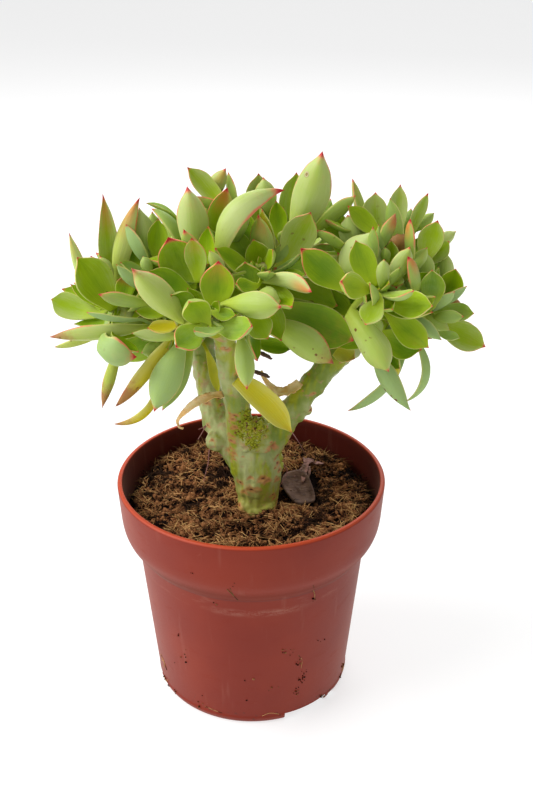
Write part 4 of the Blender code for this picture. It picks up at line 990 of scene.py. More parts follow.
def fineLeaf(bundle, leaf, draw, small=False, kind=None, mark=None):
    look = leafLooks.get(leaf["name"], {})
    length = (leaf["tip"] - leaf["root"]).length
    peak = look.get("peak", draw.uniform(*leafForm["peak"]))
    blunt = look.get("blunt", 1.5 + 0.65 * clamp(leaf["width"] / length, 0.2, 0.45) + draw.uniform(-0.1, 0.2))
    hollow = draw.uniform(*leafForm["hollow"])
    cup = draw.uniform(*leafForm["cup"])
    twist = radians(draw.uniform(-leafForm["twist"], leafForm["twist"]))
    sway = draw.uniform(-leafForm["sway"], leafForm["sway"]) * length
    seed = draw.uniform(0, 90)
    half = leafForm["smallSection" if small else "section"]
    angles = [radians(a) for a in half] + [radians(a + 180) for a in half]
    sides = len(angles)
    shownWidth = leaf["width"] * look.get("slim", 1.0)
    neck = look.get("neck", leafForm["neck"])
    frames = stalkStations(leaf, 3 if small else leafForm["stalkRings"]) if "anchor" in leaf else []
    for s in leafForm["smallStations" if small else "stations"]:
        place, normal, side = leafFrame(leaf, s)
        turn = twist * (s - 0.4) * smooth(s / 0.3)
        side, normal = side * cos(turn) + normal * sin(turn), normal * cos(turn) - side * sin(turn)
        place = place + side * (sway * 4 * s * (1 - s))
        wide = shownWidth * leafWidth(s, peak, blunt, neck) / 2
        frames.append((s, place, normal, side, wide, leaf["width"] * leafThickness * leafDepth(s)))
    points = []
    places = []
    for s, place, normal, side, wide, deep in frames:
        share = smooth(s / 0.4)
        for angle in angles:
            x = cos(angle)
            lift = abs(sin(angle))
            wave = noise.noise(Vector((s * 4.5, x * 0.8, seed))) * leafForm["wave"]
            if angle < pi:
                z = deep * (0.30 + 0.14 * lift ** 0.6 - hollow * share * lift ** 2)
            else:
                z = deep * (0.30 - 0.92 * (0.62 * lift + 0.38 * (1 - abs(x))))
            z += wide * (cup * share * (x * x - 0.4) + 1.4 * wave * x * x)
            points.append(place + side * (wide * (1 + wave) * x) + normal * z)
            places.append((s, x, sin(angle)))
    count = len(points)
    points.append(leafFrame(leaf, 1.0)[0])
    places.append((1.0, 0.0, 0.0))
    faces = [tuple(range(sides))] + bands(len(frames), sides) + fan(count - sides, sides, count)
    kind = kind or (
        look.get("tone", draw.uniform(0.0, 0.6)),
        look.get("blush", blushes.get(leaf["rosette"], 0.55) * draw.uniform(0.4, 1.1)),
        look.get("gold", max(0.0, draw.uniform(-0.25, 0.12))),
    )
    mark = mark or (look.get("bloom", draw.uniform(0.0, 0.4)), draw.random(), seed / 90)
    age = (look.get("brown", 0.0), look.get("flush", draw.uniform(-0.5, 0.3)), 0.0)
    bundle.add(points, faces, leafPlace=places, leafKind=kind, leafMark=mark, leafAge=age)


leafColours = {
    "deep": tint(110, 148, 8),
    "fresh": tint(156, 184, 24),
    "pale": tint(184, 197, 118),
    "back": tint(178, 194, 126),
    "base": tint(178, 194, 36),
    "bloom": tint(156, 184, 122),
    "rim": tint(212, 208, 128),
    "red": tint(226, 106, 86),
    "tip": tint(190, 40, 50),
    "flush": tint(214, 126, 66),
    "gold": tint(208, 192, 36),
    "brown": tint(160, 98, 62),
    "cork": tint(206, 196, 150),
    "scab": tint(150, 128, 74),
    "spot": tint(112, 66, 34),
    "wine": tint(112, 34, 40),
}


def leafSkin(name, spots):
    net = Finish(name, leafColours, {
        "Subsurface Weight": 0.12, "Subsurface Radius": (0.8, 1.0, 0.1), "Subsurface Scale": 0.0018,
        "Specular IOR Level": 0.28,
    })
    s, across, upper = net.attribute("leafPlace")
    tone, blush, gold = net.attribute("leafKind")
    bloom, spotty, seed = net.attribute("leafMark")
    brown, warm = net.attribute("leafAge")[:2]
    where = net.place()
    broad = net.cloud(where, 75, 2) - 0.5
    patch = net.cloud(where, 330, 3, rough=0.6) - 0.5
    grain = net.cloud(where, 2600, 2) - 0.5
    veins = net.cloud(net.join(across * 5.0, s * 1.6, seed * 40.0), 2.2, 3) - 0.5
    edge = net.maths("ABSOLUTE", across)
    below = 1 - net.step(upper, -0.15, 0.2)

    light = tone * 0.85 + broad * 0.6 + veins * 0.34 + (edge - 0.45) * 0.3 + patch * 0.2 + 0.1
    net.ground(net.step(light, -0.05, 0.5), "deep", "fresh")
    net.coat(net.step(light, 0.45, 1.0), "pale")
    net.coat(below * 0.4, "back")
    net.coat((1 - net.step(s, 0.0, 0.5)) * 0.55, "base")
    net.coat(net.step(bloom * 0.95 + patch * 0.4, 0.25, 1.05) * 0.85, "bloom")
    net.coat(net.step(gold + patch * 0.4 * gold, 0.05, 0.9), "gold")
    net.coat(net.step(edge + veins * 0.6, 0.3, 1.0) * net.step(gold, 0.5, 0.7) * 0.4, "rim")
    middle = (1 - net.step(edge, 0.35, 0.95)) * net.step(s, 0.45, 0.9)
    net.coat(net.step(warm + patch * 0.7, 0.1, 1.1) * middle * 0.8, "flush")

    net.coat(net.step(edge + patch * 0.05, 0.92, 0.99) * 0.65, "rim")
    reach = net.step(s + blush * 0.55 + patch * 0.4, 0.92, 1.25)
    net.coat(net.step(edge + patch * 0.1, 0.93, 0.99) * reach * 0.85, "red")
    net.coat(below * net.step(s + blush * 0.2 + patch * 0.6, 1.0, 1.4) * 0.5, "flush")
    net.coat(net.step(s + blush * 0.06 + patch * 0.06, 0.95, 1.02), "red")
    net.coat(net.step(s + blush * 0.05, 0.97, 1.02), "tip")
    dry = net.step(s + brown * 1.1 + patch * 0.35, 1.0, 1.3) * net.step(brown, 0.02, 0.15)
    net.coat(dry * 0.85, "brown")
    dots = net.step(net.cloud(where, 420, 1), 0.72, 0.77) * net.step(spotty, 0.6, 0.9)
    net.coat(dots * 0.55, "spot")
    relief = veins * 0.5 + grain * 0.12 + patch * 0.3
    for kind, spot, radius in spots:
        away = net.vector("DISTANCE", where, spot, out=1) * (1 / radius) + patch * 0.5
        inner = 1 - net.step(away, 0.75, 1.05)
        if kind == "scab":
            net.coat(inner, "scab")
            ring = inner * net.step(away, 0.35, 0.6)
            net.coat(ring * 0.8, "cork")
            relief = relief + ring * 2.0 - inner
        else:
            net.coat(inner * 0.9, kind)
    return net.finish(0.44 + bloom * 0.2 + grain * 0.16, relief, 0.0004, 0.6)


# The small leaves at each growing point, the oldest of them first.
heartForm = {
    "seed": 29,
    "leaves": 9,
    "lean": (8, 34),  # degrees: the youngest leaf's, and how much more the oldest has
    "length": (0.12, 0.22),  # of the rosette's longest, in the same way
    "lengthVaries": (0.85, 1.1),
    "width": (0.36, 0.46),  # of the length
    "drop": (-1.0, 1.2),
}
draw = random.Random(heartForm["seed"])
for rosette in rosettes:
    start = draw.uniform(0, 2 * pi)
    for i in range(heartForm["leaves"]):
        old = 1 - i / heartForm["leaves"]
        values = [heartForm[key] for key in ("lean", "length", "drop")]
        lean, share, drop = (young + more * old for young, more in values)
        length = rosettes[rosette][5] * share * draw.uniform(*heartForm["lengthVaries"])
        width = length * draw.uniform(*heartForm["width"])
        growth.tryLeaf(rosette, start + i * goldenTurn, radians(lean), length, width, drop)
heads = {name: Bundle() for name in branches}
for leaf in growth.leaves:
    length = (leaf["tip"] - leaf["root"]).length
    fineLeaf(heads[leaf["head"]], leaf, draw, small=length < leafForm["smallBelow"])
for name, (head, *unused) in fillLeaves.items():
    kind = tuple(leafLooks[name][key] for key in ("tone", "blush", "gold"))
    fineLeaf(heads[head], shownLeaf(name, fillLeaves), draw, kind=kind)


def spotPlaces():  # kind, place in metres and radius of each mark, on the foremost leaf that its pixel shows
    shapes = [BVHTree.FromPolygons(bundle.points, bundle.faces) for bundle in heads.values()]
    found = []
    for kind, spots in leafSpots.items():
        for across, down, radius in spots:
            hits = [hit for hit in (meet(shape, across, down) for shape in shapes) if hit[0]]
            if hits:
                place = min(hits, key=lambda hit: hit[3])[0]
                found.append((kind, (place + potAxis) * mm, radius * 0.4 * mm))
    return found


leafGreen = leafSkin("leafGreen", spotPlaces())
for name, bundle in heads.items():
    hand(newPiece("crown_" + name, bundle, leafGreen), "leaf_green", "head_" + name)
print("crowns made")


stemForm = {
    "voxel": 0.42,  # how fine the skin is
    "smoothing": 5,
    "roughness": 0.4,
    "ridges": 0.4,
    "budPlace": (255, 434, -12.5),  # the crest's middle: across, down and depth in the view
    "budCount": 60,  # lumps under the crest
    "budSpread": (5.0, 2.2, 6.0),
    "budSize": (0.7, 1.7),
    "scarSize": (3.0, 5.6),  # of the scars drawn on the far sides
    "crestBuds": 420,
    "crestBudSize": (0.3, 0.8),
    "crestSize": (6.0, 4.0, 7.5),  # how far its colour reaches
}

# Knobs and torn nodes that stand out of the branches: across, down and depth in the view, and radius.
knobs = (
    (276, 458, -6, 2.6), (277, 466, -6, 2.6), (275, 476, -7, 2.2), (301, 404, -4, 3.9),
    (295, 412, -4, 4.3), (306, 409, -4, 2.4), (233, 384, -13, 4.9), (236, 391, -12, 4.6),
    (211, 400, 6, 5.0), (214, 424, 2, 4.4), (241, 470, -8, 4.0), (321, 380, -3, 3.2), (230, 430, -3, 4.6),
    (268, 424, -7, 3.6), (216, 441, -5, 4.0), (235, 416, -10, 3.9), (205, 374, 10, 4.6),
    (318, 388, -4, 2.6), (253, 428, -11, 4.2), (261, 428, -10, 4.2), (257, 434, -12, 4.6),
    (250, 437, -12, 4.2), (264, 438, -11, 4.0), (257, 444, -12, 3.6), (246, 506.5, -11.4, 3.2),
    (251, 509.5, -12.0, 3.1), (256.5, 510.5, -12.3, 3.0), (262, 509.5, -12.2, 3.0),
    (267.5, 506.5, -11.8, 3.0),
)

# Leaf scars in the view: across, down, width in pixels, and how dark.
scars = (
    (251.6, 489.6, 14, 0.8), (262.8, 478.5, 12, 0.8), (240, 482, 9, 0.8), (272.6, 494.5, 7, 0.9),
    (276, 476.7, 6, 0.7), (277.5, 462.9, 8, 1.0), (233.8, 455.7, 5, 1.0), (243, 456.6, 4, 0.7),
    (230, 434, 7, 0.6), (229, 421, 6, 1.0), (208, 425, 7, 1.0), (207, 403, 8, 0.8), (234.6, 415.5, 9, 0.7),
    (265, 437, 4, 1.0), (270.8, 442, 5, 1.0), (310, 410, 7, 1.0), (240, 510, 8, 0.9), (276.6, 505, 7, 1.0),
    (225.7, 348.5, 10, 0.5), (230, 413, 5, 0.9), (314, 393, 5, 1.0), (296, 390.6, 5, 1.0),
    (308.5, 373.8, 6, 0.6), (325, 388, 5, 0.8), (220, 405, 5, 0.9), (232, 428, 6, 0.9), (237, 372, 7, 0.4),
    (303, 391, 3, 0.9), (275.5, 459, 6, 1.0), (275, 468, 6, 1.0), (231, 440, 8, 0.5), (262, 419, 5, 1.0),
    (266, 427, 5, 1.0), (265, 437, 6, 1.0), (251, 424, 4, 1.0), (235, 459, 6, 0.7), (242, 511, 7, 0.6),
    (219, 398, 6, 1.0), (222, 404, 6, 1.0), (212, 440, 6, 0.3), (233, 419, 9, 0.7), (235, 427, 9, 0.6),
    (232, 436, 8, 0.7), (231, 447, 7, 0.5), (234, 453, 8, 0.6), (278, 455, 8, 0.9), (279, 470, 9, 1.0),
    (277, 479, 9, 0.7), (274, 497, 10, 0.7), (277, 500, 8, 0.9), (239, 505, 9, 0.6), (251, 478, 8, 0.3),
    (257, 488, 9, 0.4), (245, 492, 10, 0.5), (268, 480, 9, 0.3),
)

stemColours = {
    "pale": tint(178, 184, 122),
    "green": tint(128, 146, 58),
    "yellow": tint(158, 164, 20),
    "base": tint(176, 172, 80),
    "scar": tint(192, 130, 78),
    "edge": tint(136, 74, 42),
    "dark": tint(64, 28, 18),
    "crest": tint(146, 150, 26),
    "blush": tint(182, 142, 108),
}


def stemSkin():
    net = Finish("stemSkin", stemColours, {
        "Subsurface Weight": 0.08, "Subsurface Radius": (0.8, 1.0, 0.3), "Subsurface Scale": 0.0015,
        "Specular IOR Level": 0.3,
    })
    scar, dark, crest = net.attribute("stemMark")
    where = net.place()
    broad = net.cloud(where, 70, 3, (1.0, 1.0, 0.6)) - 0.5
    streak = net.cloud(where, 190, 3, (1.0, 1.0, 0.25)) - 0.5
    crust = net.cloud(where, 260, 4, rough=0.65) - 0.5
    fine = net.cloud(where, 900, 3) - 0.5
    net.ground(net.step(broad, -0.08, 0.1), "pale", "green")
    net.coat(net.step(streak + broad * 0.4, -0.03, 0.1) * 0.8, "yellow")
    net.coat(net.step(crust - broad * 0.3, 0.02, 0.18) * 0.7, "blush")
    height = net.split(where)[2]
    net.coat((1 - net.step(height + streak * 0.012, 0.084, 0.102)) * 0.7, "base")
    net.coat(net.step(crest + fine * 0.5, 0.2, 0.7), "crest")
    crusty = scar * 1.1 + crust * 1.6 + fine * 0.5
    net.coat(net.step(crusty, 0.15, 0.9) * 0.8, "scar")
    net.coat(net.step(crusty, 0.85, 1.35) * 0.75, "edge")
    specks = net.step(net.cloud(where, 620, 2), 0.7, 0.76) * net.step(broad + streak * 0.4, -0.05, 0.1)
    net.coat(specks * 0.7, "scar")
    net.coat(net.step(dark + fine * 0.5, 0.35, 0.8), "dark")
    return net.finish(0.5 + fine * 0.2, streak * 0.6 + crust * 0.6 + fine * 0.4, 0.0006, 0.7)


def ball(middle, radius, detail):
    work = bmesh.new()
    bmesh.ops.create_icosphere(work, subdivisions=detail, radius=radius)
    points = [vert.co + middle for vert in work.verts]
    faces = [tuple(vert.index for vert in face.verts) for face in work.faces]
    work.free()
    return points, faces


def scarMarks(shape, draw):  # place, normal, width and darkness: the seen scars, then drawn ones behind
    marks = []
    for across, down, width, dark in scars:
        spot, normal, face, distance = meet(shape, across, down)
        if spot:
            marks.append((spot, normal, width * 0.4, dark))
    for branch, path in enumerate(trunkPaths()[:4]):
        for k, (place, radius) in enumerate(softPath(path, 3)[3:]):
            angle = k * goldenTurn + branch
            way = Vector((cos(angle), sin(angle), draw.uniform(-0.2, 0.2)))
            spot, normal, face, distance = shape.ray_cast(place + way * 40, -way, 60)
            if spot and normal.dot((eye - spot).normalized()) < 0.15 and spot.z > 88:
                marks.append((spot, normal, draw.uniform(*stemForm["scarSize"]), draw.uniform(0.5, 1.0)))
    return marks


def makeStem():
    rough = Bundle()
    for path in trunkPaths():
        rough.add(*tubeShell(softPath(path, 6), 28))
    for across, down, depth, radius in knobs:
        rough.add(*ball(fromView(across, down, depth), radius, 3))
    draw = random.Random(5)
    bud = fromView(*stemForm["budPlace"])
    wide, deep, high = stemForm["budSpread"]
    for k in range(stemForm["budCount"]):
        angle = draw.uniform(-pi, 0.15)
        spread = draw.uniform(0.4, 1.0) ** 0.5
        height = draw.uniform(-high, high)
        size = draw.uniform(*stemForm["budSize"])
        spot = bud + Vector((wide * spread * cos(angle), deep * spread * sin(angle), height))
        rough.add(*ball(spot, size, 2))
    made = newPiece("stem_skin", rough, stemSkin())
    remesh = made.modifiers.new("remesh", "REMESH")
    remesh.mode = "VOXEL"
    remesh.voxel_size = stemForm["voxel"] * mm
    soft = made.modifiers.new("soften", "SMOOTH")
    soft.factor = 0.5
    soft.iterations = stemForm["smoothing"]
    bake(made)
    data = made.data
    marks = scarMarks(skinShape(made), draw)

    count = len(data.vertices)
    places = np.empty(count * 3)
    normals = np.empty(count * 3)
    data.vertices.foreach_get("co", places)
    data.vertices.foreach_get("normal", normals)
    places = places.reshape(-1, 3) / mm - np.array(potAxis)
    scar, dark, lift = np.zeros((3, count))
    for spot, normal, width, depth in marks:
        side = Vector((0, 0, 1)).cross(normal).normalized()
        away = places - np.array(spot)
        u, v, out = ((away @ np.array(axis)) / (width / 2) for axis in (side, normal.cross(side), normal))
        out = out / 1.6
        bend = v + 0.35 * u * u
        core = np.exp(-(u ** 2 * 1.2 + (bend / 0.36) ** 2 + out ** 2))
        ring = np.exp(-((u / 1.25) ** 2 + (bend / 0.62) ** 2 + out ** 2))
        scar = np.maximum(scar, ring)
        dark = np.maximum(dark, np.exp(-((u / 0.42) ** 2 + (bend / 0.22) ** 2 + out ** 2)) * depth)
        lift += (ring * 0.5 - core * 0.55) * min(1.0, width / 5)
    away = (places - np.array(bud)) / np.array(stemForm["crestSize"])
    crest = np.exp(-(away ** 2).sum(axis=1) ** 2)
    for k, (x, y, z) in enumerate(places):
        lift[k] += noise.fractal(Vector((x, y, z)) * 0.22, 1.0, 2.0, 3) * stemForm["roughness"]
        lift[k] += noise.noise(Vector((x * 0.6, y * 0.6, z * 0.07))) * stemForm["ridges"]
    places = (places + normals.reshape(-1, 3) * lift[:, None] + np.array(potAxis)) * mm
    data.vertices.foreach_set("co", places.ravel())
    storeMark(data, "stemMark", np.stack([scar, dark, crest], axis=1))
    data.update()
    data.shade_smooth()
    return made


stemPiece = hand(makeStem(), "stem_skin", "stem")
stemFinish = stemPiece.data.materials[0]


def makeShoots():
    bundle = Bundle()
    for name in rosettes:
        bundle.add(*tubeShell(softPath(twigStations(name), 6), 18, 0.25), stemMark=(0.12, 0.0, 0.0))
    for head in branches:
        start, way, radius = headBase(head)
        swell = ((-2, 0.96), (1, 1.0), (4, 1.15), (8, 0.7))
        path = [(start + way * along, radius * share) for along, share in swell]
        bundle.add(*tubeShell(softPath(path, 5), 24), stemMark=(0.12, 0.0, 0.0))
    return newPiece("shoots", bundle, stemFinish)


hand(makeShoots(), "stem_skin")


def makeCrest():  # crowded small buds, seated on the stem where the sight lines of the crest meet it
    shape = skinShape(stemPiece)
    draw = random.Random(8)
    bundle = Bundle()
    for k in range(stemForm["crestBuds"]):
        down = draw.gauss(429, 7.5)
        wide = 6.5 - 3.0 * smooth(down, 425, 450)
        spot, normal, face, distance = meet(shape, 251.5 + draw.gauss(0, wide), down)
        if not spot or spot.y > 6.0:
            continue
        size = draw.uniform(*stemForm["crestBudSize"])
        aim = (normal + Vector((draw.uniform(-0.6, 0.6), -0.3, draw.uniform(-0.2, 0.8)))).normalized()
        points, faces = ball(Vector(), size, 1)
        shaped = []
        for point in points:
            along = point.dot(aim)
            shaped.append(spot + point * (1 - 0.35 * along / size) + aim * (along * 0.6 + size * 0.15))
        old = draw.random()
        mark = (0.8, 0.6, 0.0) if old > 0.95 else (0.3 * old, 0.0, 0.5 + 0.5 * draw.random())
        bundle.add(shaped, faces, stemMark=mark)
    return newPiece("crest_buds", bundle, stemFinish)


hand(makeCrest(), "stem_skin")
print("stem and shoots made")


soilForm = {
    "level": 82.3,
    "heap": 0.0012,
    "slope": 0.02,
    "rough": 1.5,
    "shrink": 5.5,  # how far the soil has sunk at the pot's wall
    "edgeLow": 77.4,
    "radius": 49.3,
    "innerRadius": 46.4,  # where it begins to fall off to the wall
    "rings": 84,
    "sectors": 300,
    "lumps": 1.0,
    "clumps": 2.4,  # height of the crumbs between their crevices
    "grit": 0.6,
    "dip": 1.2,  # round the trunk
    "mound": (5.0, -17.0, 2.0, 3.2),  # against the trunk's front: across, depth, height and spread
    "bed": (18.8, 6.5, 83.0),  # under the fallen leaf
    "bare": 7.5,  # how far round its middle no grains lie
    "bedRise": 0.36,  # its slope toward the back
    "wall": ((47.4, 68.8), (43.65, 63.6), (38.0, 6.4), (36.7, 5.1)),
}


def fromBed(x, y, squash=1.0):  # how far from the middle of the fallen leaf's bed
    return ((x - soilForm["bed"][0]) ** 2 + ((y - soilForm["bed"][1]) * squash) ** 2) ** 0.5


def soilHeight(x, y):
    form = soilForm
    rough = noise.fractal(Vector((x * 0.11, y * 0.11, 3.7)), 1.0, 2.0, 3) * form["rough"]
    height = form["level"] + form["heap"] * y * y - form["slope"] * y + rough
    bed = form["bed"][2] + form["bedRise"] * (y - form["bed"][1])
    return bed + (height - bed) * clamp(fromBed(x, y, 0.8), 9.0, 14.0)


def clump(x, y):  # crumbs of two sizes, high in their middles
    warp = noise.noise(Vector((x * 0.35, y * 0.35, 5.0))) * 1.4
    large = noise.voronoi(Vector(((x + warp) * 0.17, (y - warp) * 0.17, 1.0)))[0][0]
    small = noise.voronoi(Vector(((x - warp) * 0.42, (y + warp) * 0.42, 4.0)))[0][0]
    return 0.55 * (0.45 - large) + 0.35 * (0.4 - small)


def soilTop(x, y, radius):
    form = soilForm
    height = soilHeight(x, y)
    calm = smooth(fromBed(x, y), 7.0, 12.0)
    lumps = noise.fractal(Vector((x * 0.3, y * 0.3, 9.1)), 0.9, 2.1, 4) * form["lumps"]
    grit = noise.noise(Vector((x * 1.3, y * 1.3, 2.2))) * form["grit"]
    height += (lumps + grit + form["clumps"] * clump(x, y)) * calm
    aside = ((x - trunk["x"]) ** 2 + (y - trunk["y"]) ** 2) ** 0.5
    height -= form["dip"] * (1 - smooth(aside, 8.0, 14.0))
    x0, y0, rise, spread = form["mound"]
    height += rise * exp(-((x - x0) ** 2 + (y - y0) ** 2) / (2 * spread ** 2))
    openSide = 0.12 + 0.88 * clamp(y, -42.0, -12.0)
    edge = smooth(radius, form["innerRadius"] - 1.5, form["radius"])
    low = max(form["edgeLow"], height - form["shrink"] * openSide)
    return height + (low - height) * edge


def makeSoil(finish):  # the bed, and the part of its top that grains and fibres lie on
    sectors = soilForm["sectors"]
    steps = soilForm["rings"]
    points = [Vector((0.0, 0.0, soilTop(0.0, 0.0, 0.0)))]
    for k in range(1, steps + 1):
        radius = soilForm["radius"] * (k / steps)
        for i in range(sectors):
            angle = 2 * pi * (i + 0.5 * (radius * 7 % 1 > 0.5)) / sectors
            x, y = radius * cos(angle), radius * sin(angle)
            points.append(Vector((x, y, soilTop(x, y, radius))))
    for radius, height in soilForm["wall"]:
        turns = [2 * pi * i / sectors for i in range(sectors)]
        points += [Vector((radius * cos(turn), radius * sin(turn), height)) for turn in turns]
    points.append(Vector((0.0, 0.0, soilForm["wall"][-1][1])))
    rings = steps + len(soilForm["wall"])
    faces = [(tip, a, b) for a, b, tip in fan(1, sectors, 0)]
    faces += [(a, d, c, b) for a, b, c, d in bands(rings, sectors, 1)]
    faces += [(a, tip, b) for a, b, tip in fan(1 + (rings - 1) * sectors, sectors, len(points) - 1)]
    bundle = Bundle()
    # painted shade: the second value falls in the crumbs' crevices and in a band by the pot's wall, and the
    # bed's skin darkens with it
    bedShading = [(0.0, clump(p.x, p.y) - 0.5 * smooth(p.to_2d().length, 44.5, 48.5), 0.0) for p in points]
    bundle.add(points, faces, grainToneAndShade=bedShading)
    inner = [(face, points[face[0]]) for face in faces[: (steps - 5) * sectors]]
    strewnOn = [face for face, place in inner if fromBed(place.x, place.y) > soilForm["bare"]]
    surface = Bundle()
    surface.add(points[: 1 + (steps - 1) * sectors], strewnOn)
    return newPiece("soil_bed", bundle, finish), surface


soilColours = {
    "dark": tint(20, 8, 4),
    "middle": tint(88, 51, 32),
    "light": tint(156, 108, 70),
    "straw": tint(206, 160, 104),
    "red": tint(98, 50, 34),
}
peatLooks = {"Roughness": 0.95, "Specular IOR Level": 0.1}
fibreLooks = {"Roughness": 0.85, "Specular IOR Level": 0.1}


def fromAxis(net, where):  # x and y from the pot's axis, height, and the first two squared and added
    x, y, z = net.split(where)
    x = x - potAxis.x * mm
    y = y - potAxis.y * mm
    return x, y, z, x * x + y * y


def wallShade(net, where):  # how near a place lies to the pot's wall, where the soil skins paint shade
    return net.step(fromAxis(net, where)[3], 0.00184, 0.00235)


def peatSkin(name, light):
    net = Finish(name, soilColours, peatLooks)
    where = net.place()
    broad = net.cloud(where, 90, 3, rough=0.6) - 0.5
    patch = net.cloud(where, 420, 4, rough=0.7)
    strand = net.cloud(where, 1700, 3, (1.0, 0.3, 1.0))
    tone, height = net.attribute("grainToneAndShade")[:2]
    # for the bed, height is that painted shade: lighter on the crumbs' tops, darker in their crevices and by
    # the wall
    share = net.step(patch * 0.8 + broad * 2.2 + tone * light + height * 0.9, 0.45, 0.95)
    # painted shade by the pot's wall
    share = share * (1 - wallShade(net, where) * 0.8)
    net.ground(share, "dark", "middle")
    net.coat(net.step(strand + broad * 0.9 + (tone - 0.4) * light * 0.9, 0.55, 0.85) * share, "light")
    net.coat(net.step(broad + tone * 0.1, 0.0, 0.25) * 0.3, "red")
    return net.finish(None, patch + strand * 0.6, 0.0008, 0.9)


def fibreSkin():
    net = Finish("peatFibre", soilColours, fibreLooks)
    tone = net.attribute("grainToneAndShade")[0]
    where = net.place()
    broad = net.cloud(where, 90, 3, rough=0.6) - 0.5
    net.ground(net.step(tone + broad * 1.6, 0.15, 0.85), "middle", "light")
    net.coat(net.step(tone + broad * 0.8, 0.8, 1.0), "straw")
    dark = net.step(net.cloud(where, 300, 2) - broad * 1.2, 0.5, 0.62)
    # painted shade by the pot's wall, over the dark fibres
    dark = dark + wallShade(net, where) * (1 - dark) * 0.8
    net.coat(dark * 0.9, "dark")
    return net.finish()


# Inputs of the trees that strew grains and fibres, which the modifiers set.
grainForm = {"Count": 6000.0, "Size": 0.42 * mm, "Stretch": 0.85, "Seed": 4}
fibreForm = {
    "Count": 5600.0, "Length": 6.0 * mm, "Radius": 0.13 * mm, "Curl": 1.0 * mm, "Lift": 0.5 * mm, "Seed": 9,
}


def strew(net, form, thing, turn, scale, share=1.0):  # things over the surface, each one with its tone
    area = net.node("GeometryNodeInputMeshFaceArea")
    whole = {0: net.geometry(), 2: area}
    total = net.node("GeometryNodeAttributeStatistic", {"domain": "FACE"}, whole, "Sum")
    points = net.node(
        "GeometryNodeDistributePointsOnFaces", {"distribute_method": "RANDOM"},
        {"Mesh": net.geometry(), "Density": form["Count"] / total * share, "Seed": form["Seed"]},
    )
    strewn = net.node(
        "GeometryNodeInstanceOnPoints", None,
        {"Points": points, "Instance": thing, "Rotation": turn, "Scale": scale},
    )
    tone = net.node("FunctionNodeRandomValue", {"data_type": "FLOAT"}, {"Seed": form["Seed"]}, 1)
    toned = net.node(
        "GeometryNodeStoreNamedAttribute", {"data_type": "FLOAT_VECTOR", "domain": "INSTANCE"},
        {"Geometry": strewn, "Name": "grainToneAndShade", "Value": net.join(tone)},
    )
    return net.node("GeometryNodeRealizeInstances", None, {0: toned})


def wander(net, scale, reach):  # a shift that varies from place to place
    cloud = net.cloud(net.place(), scale, 1.0, out=1)
    return net.scaled(net.vector("SUBTRACT", cloud, (0.5, 0.5, 0.5)), reach)


def makeGrains(surface, finish):
    net = Growing("soilGrains")
    form = net.inputs(grainForm)
    seed, stretch = form["Seed"], form["Stretch"]
    grain = net.node("GeometryNodeMeshIcoSphere", None, {"Radius": 1.0, "Subdivisions": 1})
    turn = net.random((0, 0, 0), (6.28, 6.28, 6.28), seed)
    grow = net.random(0.35, 1.0, seed)
    uneven = net.scaled(net.random((-1,) * 3, (1,) * 3, seed), stretch)
    scale = net.scaled(net.vector("ADD", (1.0, 1.0, 1.0), uneven), grow * grow * 2.4 * form["Size"])
    real = strew(net, form, grain, turn, scale)
    moved = net.shift(real, wander(net, 2100.0, form["Size"] * 1.6))
    return net.grow(newPiece("soil_grains", surface), moved, finish)


def makeFibres(surface, finish):
    net = Growing("soilFibres")
    form = net.inputs(fibreForm)
    tufts = net.cloud(net.place(), 110.0, 2.0)
    strand = net.node(
        "GeometryNodeCurveQuadraticBezier", None,
        {"Resolution": 5, "Start": (-0.5, 0.0, 0.0), "Middle": (0.0, 0.12, 0.08), "End": (0.5, 0.0, 0.0)},
    )
    heading = net.join(z=net.cloud(net.place(), 75.0, 1.0) * 22.0)
    turn = net.vector("ADD", net.random((-0.4, -0.4, -0.8), (0.4, 0.4, 0.8), form["Seed"]), heading)
    grow = net.random(0.3, 1.0, form["Seed"])
    grow = grow * grow * 1.6 * form["Length"]
    real = strew(net, form, strand, turn, net.join(grow, grow, grow), (tufts - 0.38) * 8.0)
    lift = net.vector("ADD", wander(net, 420.0, form["Curl"] * 2.0), net.join(z=form["Lift"]))
    section = net.node("GeometryNodeCurvePrimitiveCircle", None, {"Resolution": 3, "Radius": form["Radius"]})
    body = net.node(
        "GeometryNodeCurveToMesh", None,
        {"Curve": net.shift(real, lift), "Profile Curve": section, "Fill Caps": True},
    )
    return net.grow(newPiece("soil_fibres", surface), body, finish)


soilPiece, soilSurface = makeSoil(peatSkin("peatBed", 0.0))
hand(soilPiece, "peat_soil", "soil")
hand(makeGrains(soilSurface, peatSkin("peatGrain", 0.6)), "peat_soil")
hand(makeFibres(soilSurface, fibreSkin()), "peat_soil")
print("soil made")


potForm = {
    "rim": 52.5, "height": 92.0, "lip": 2.2, "collar": 51.0, "collarFoot": 64.2, "bodyTop": 45.35,
    "foot": 39.4, "wall": 1.4, "floorUnder": 3.2, "floorTop": 4.8, "segments": 192,
    "notchFirst": -71.4, "notchSpan": 29.0, "tooth": 3.2, "step": 5.8, "notchHeight": 3.0, "notches": 3,
    "drainRadius": 2.8, "drainRing": 29.0,
}


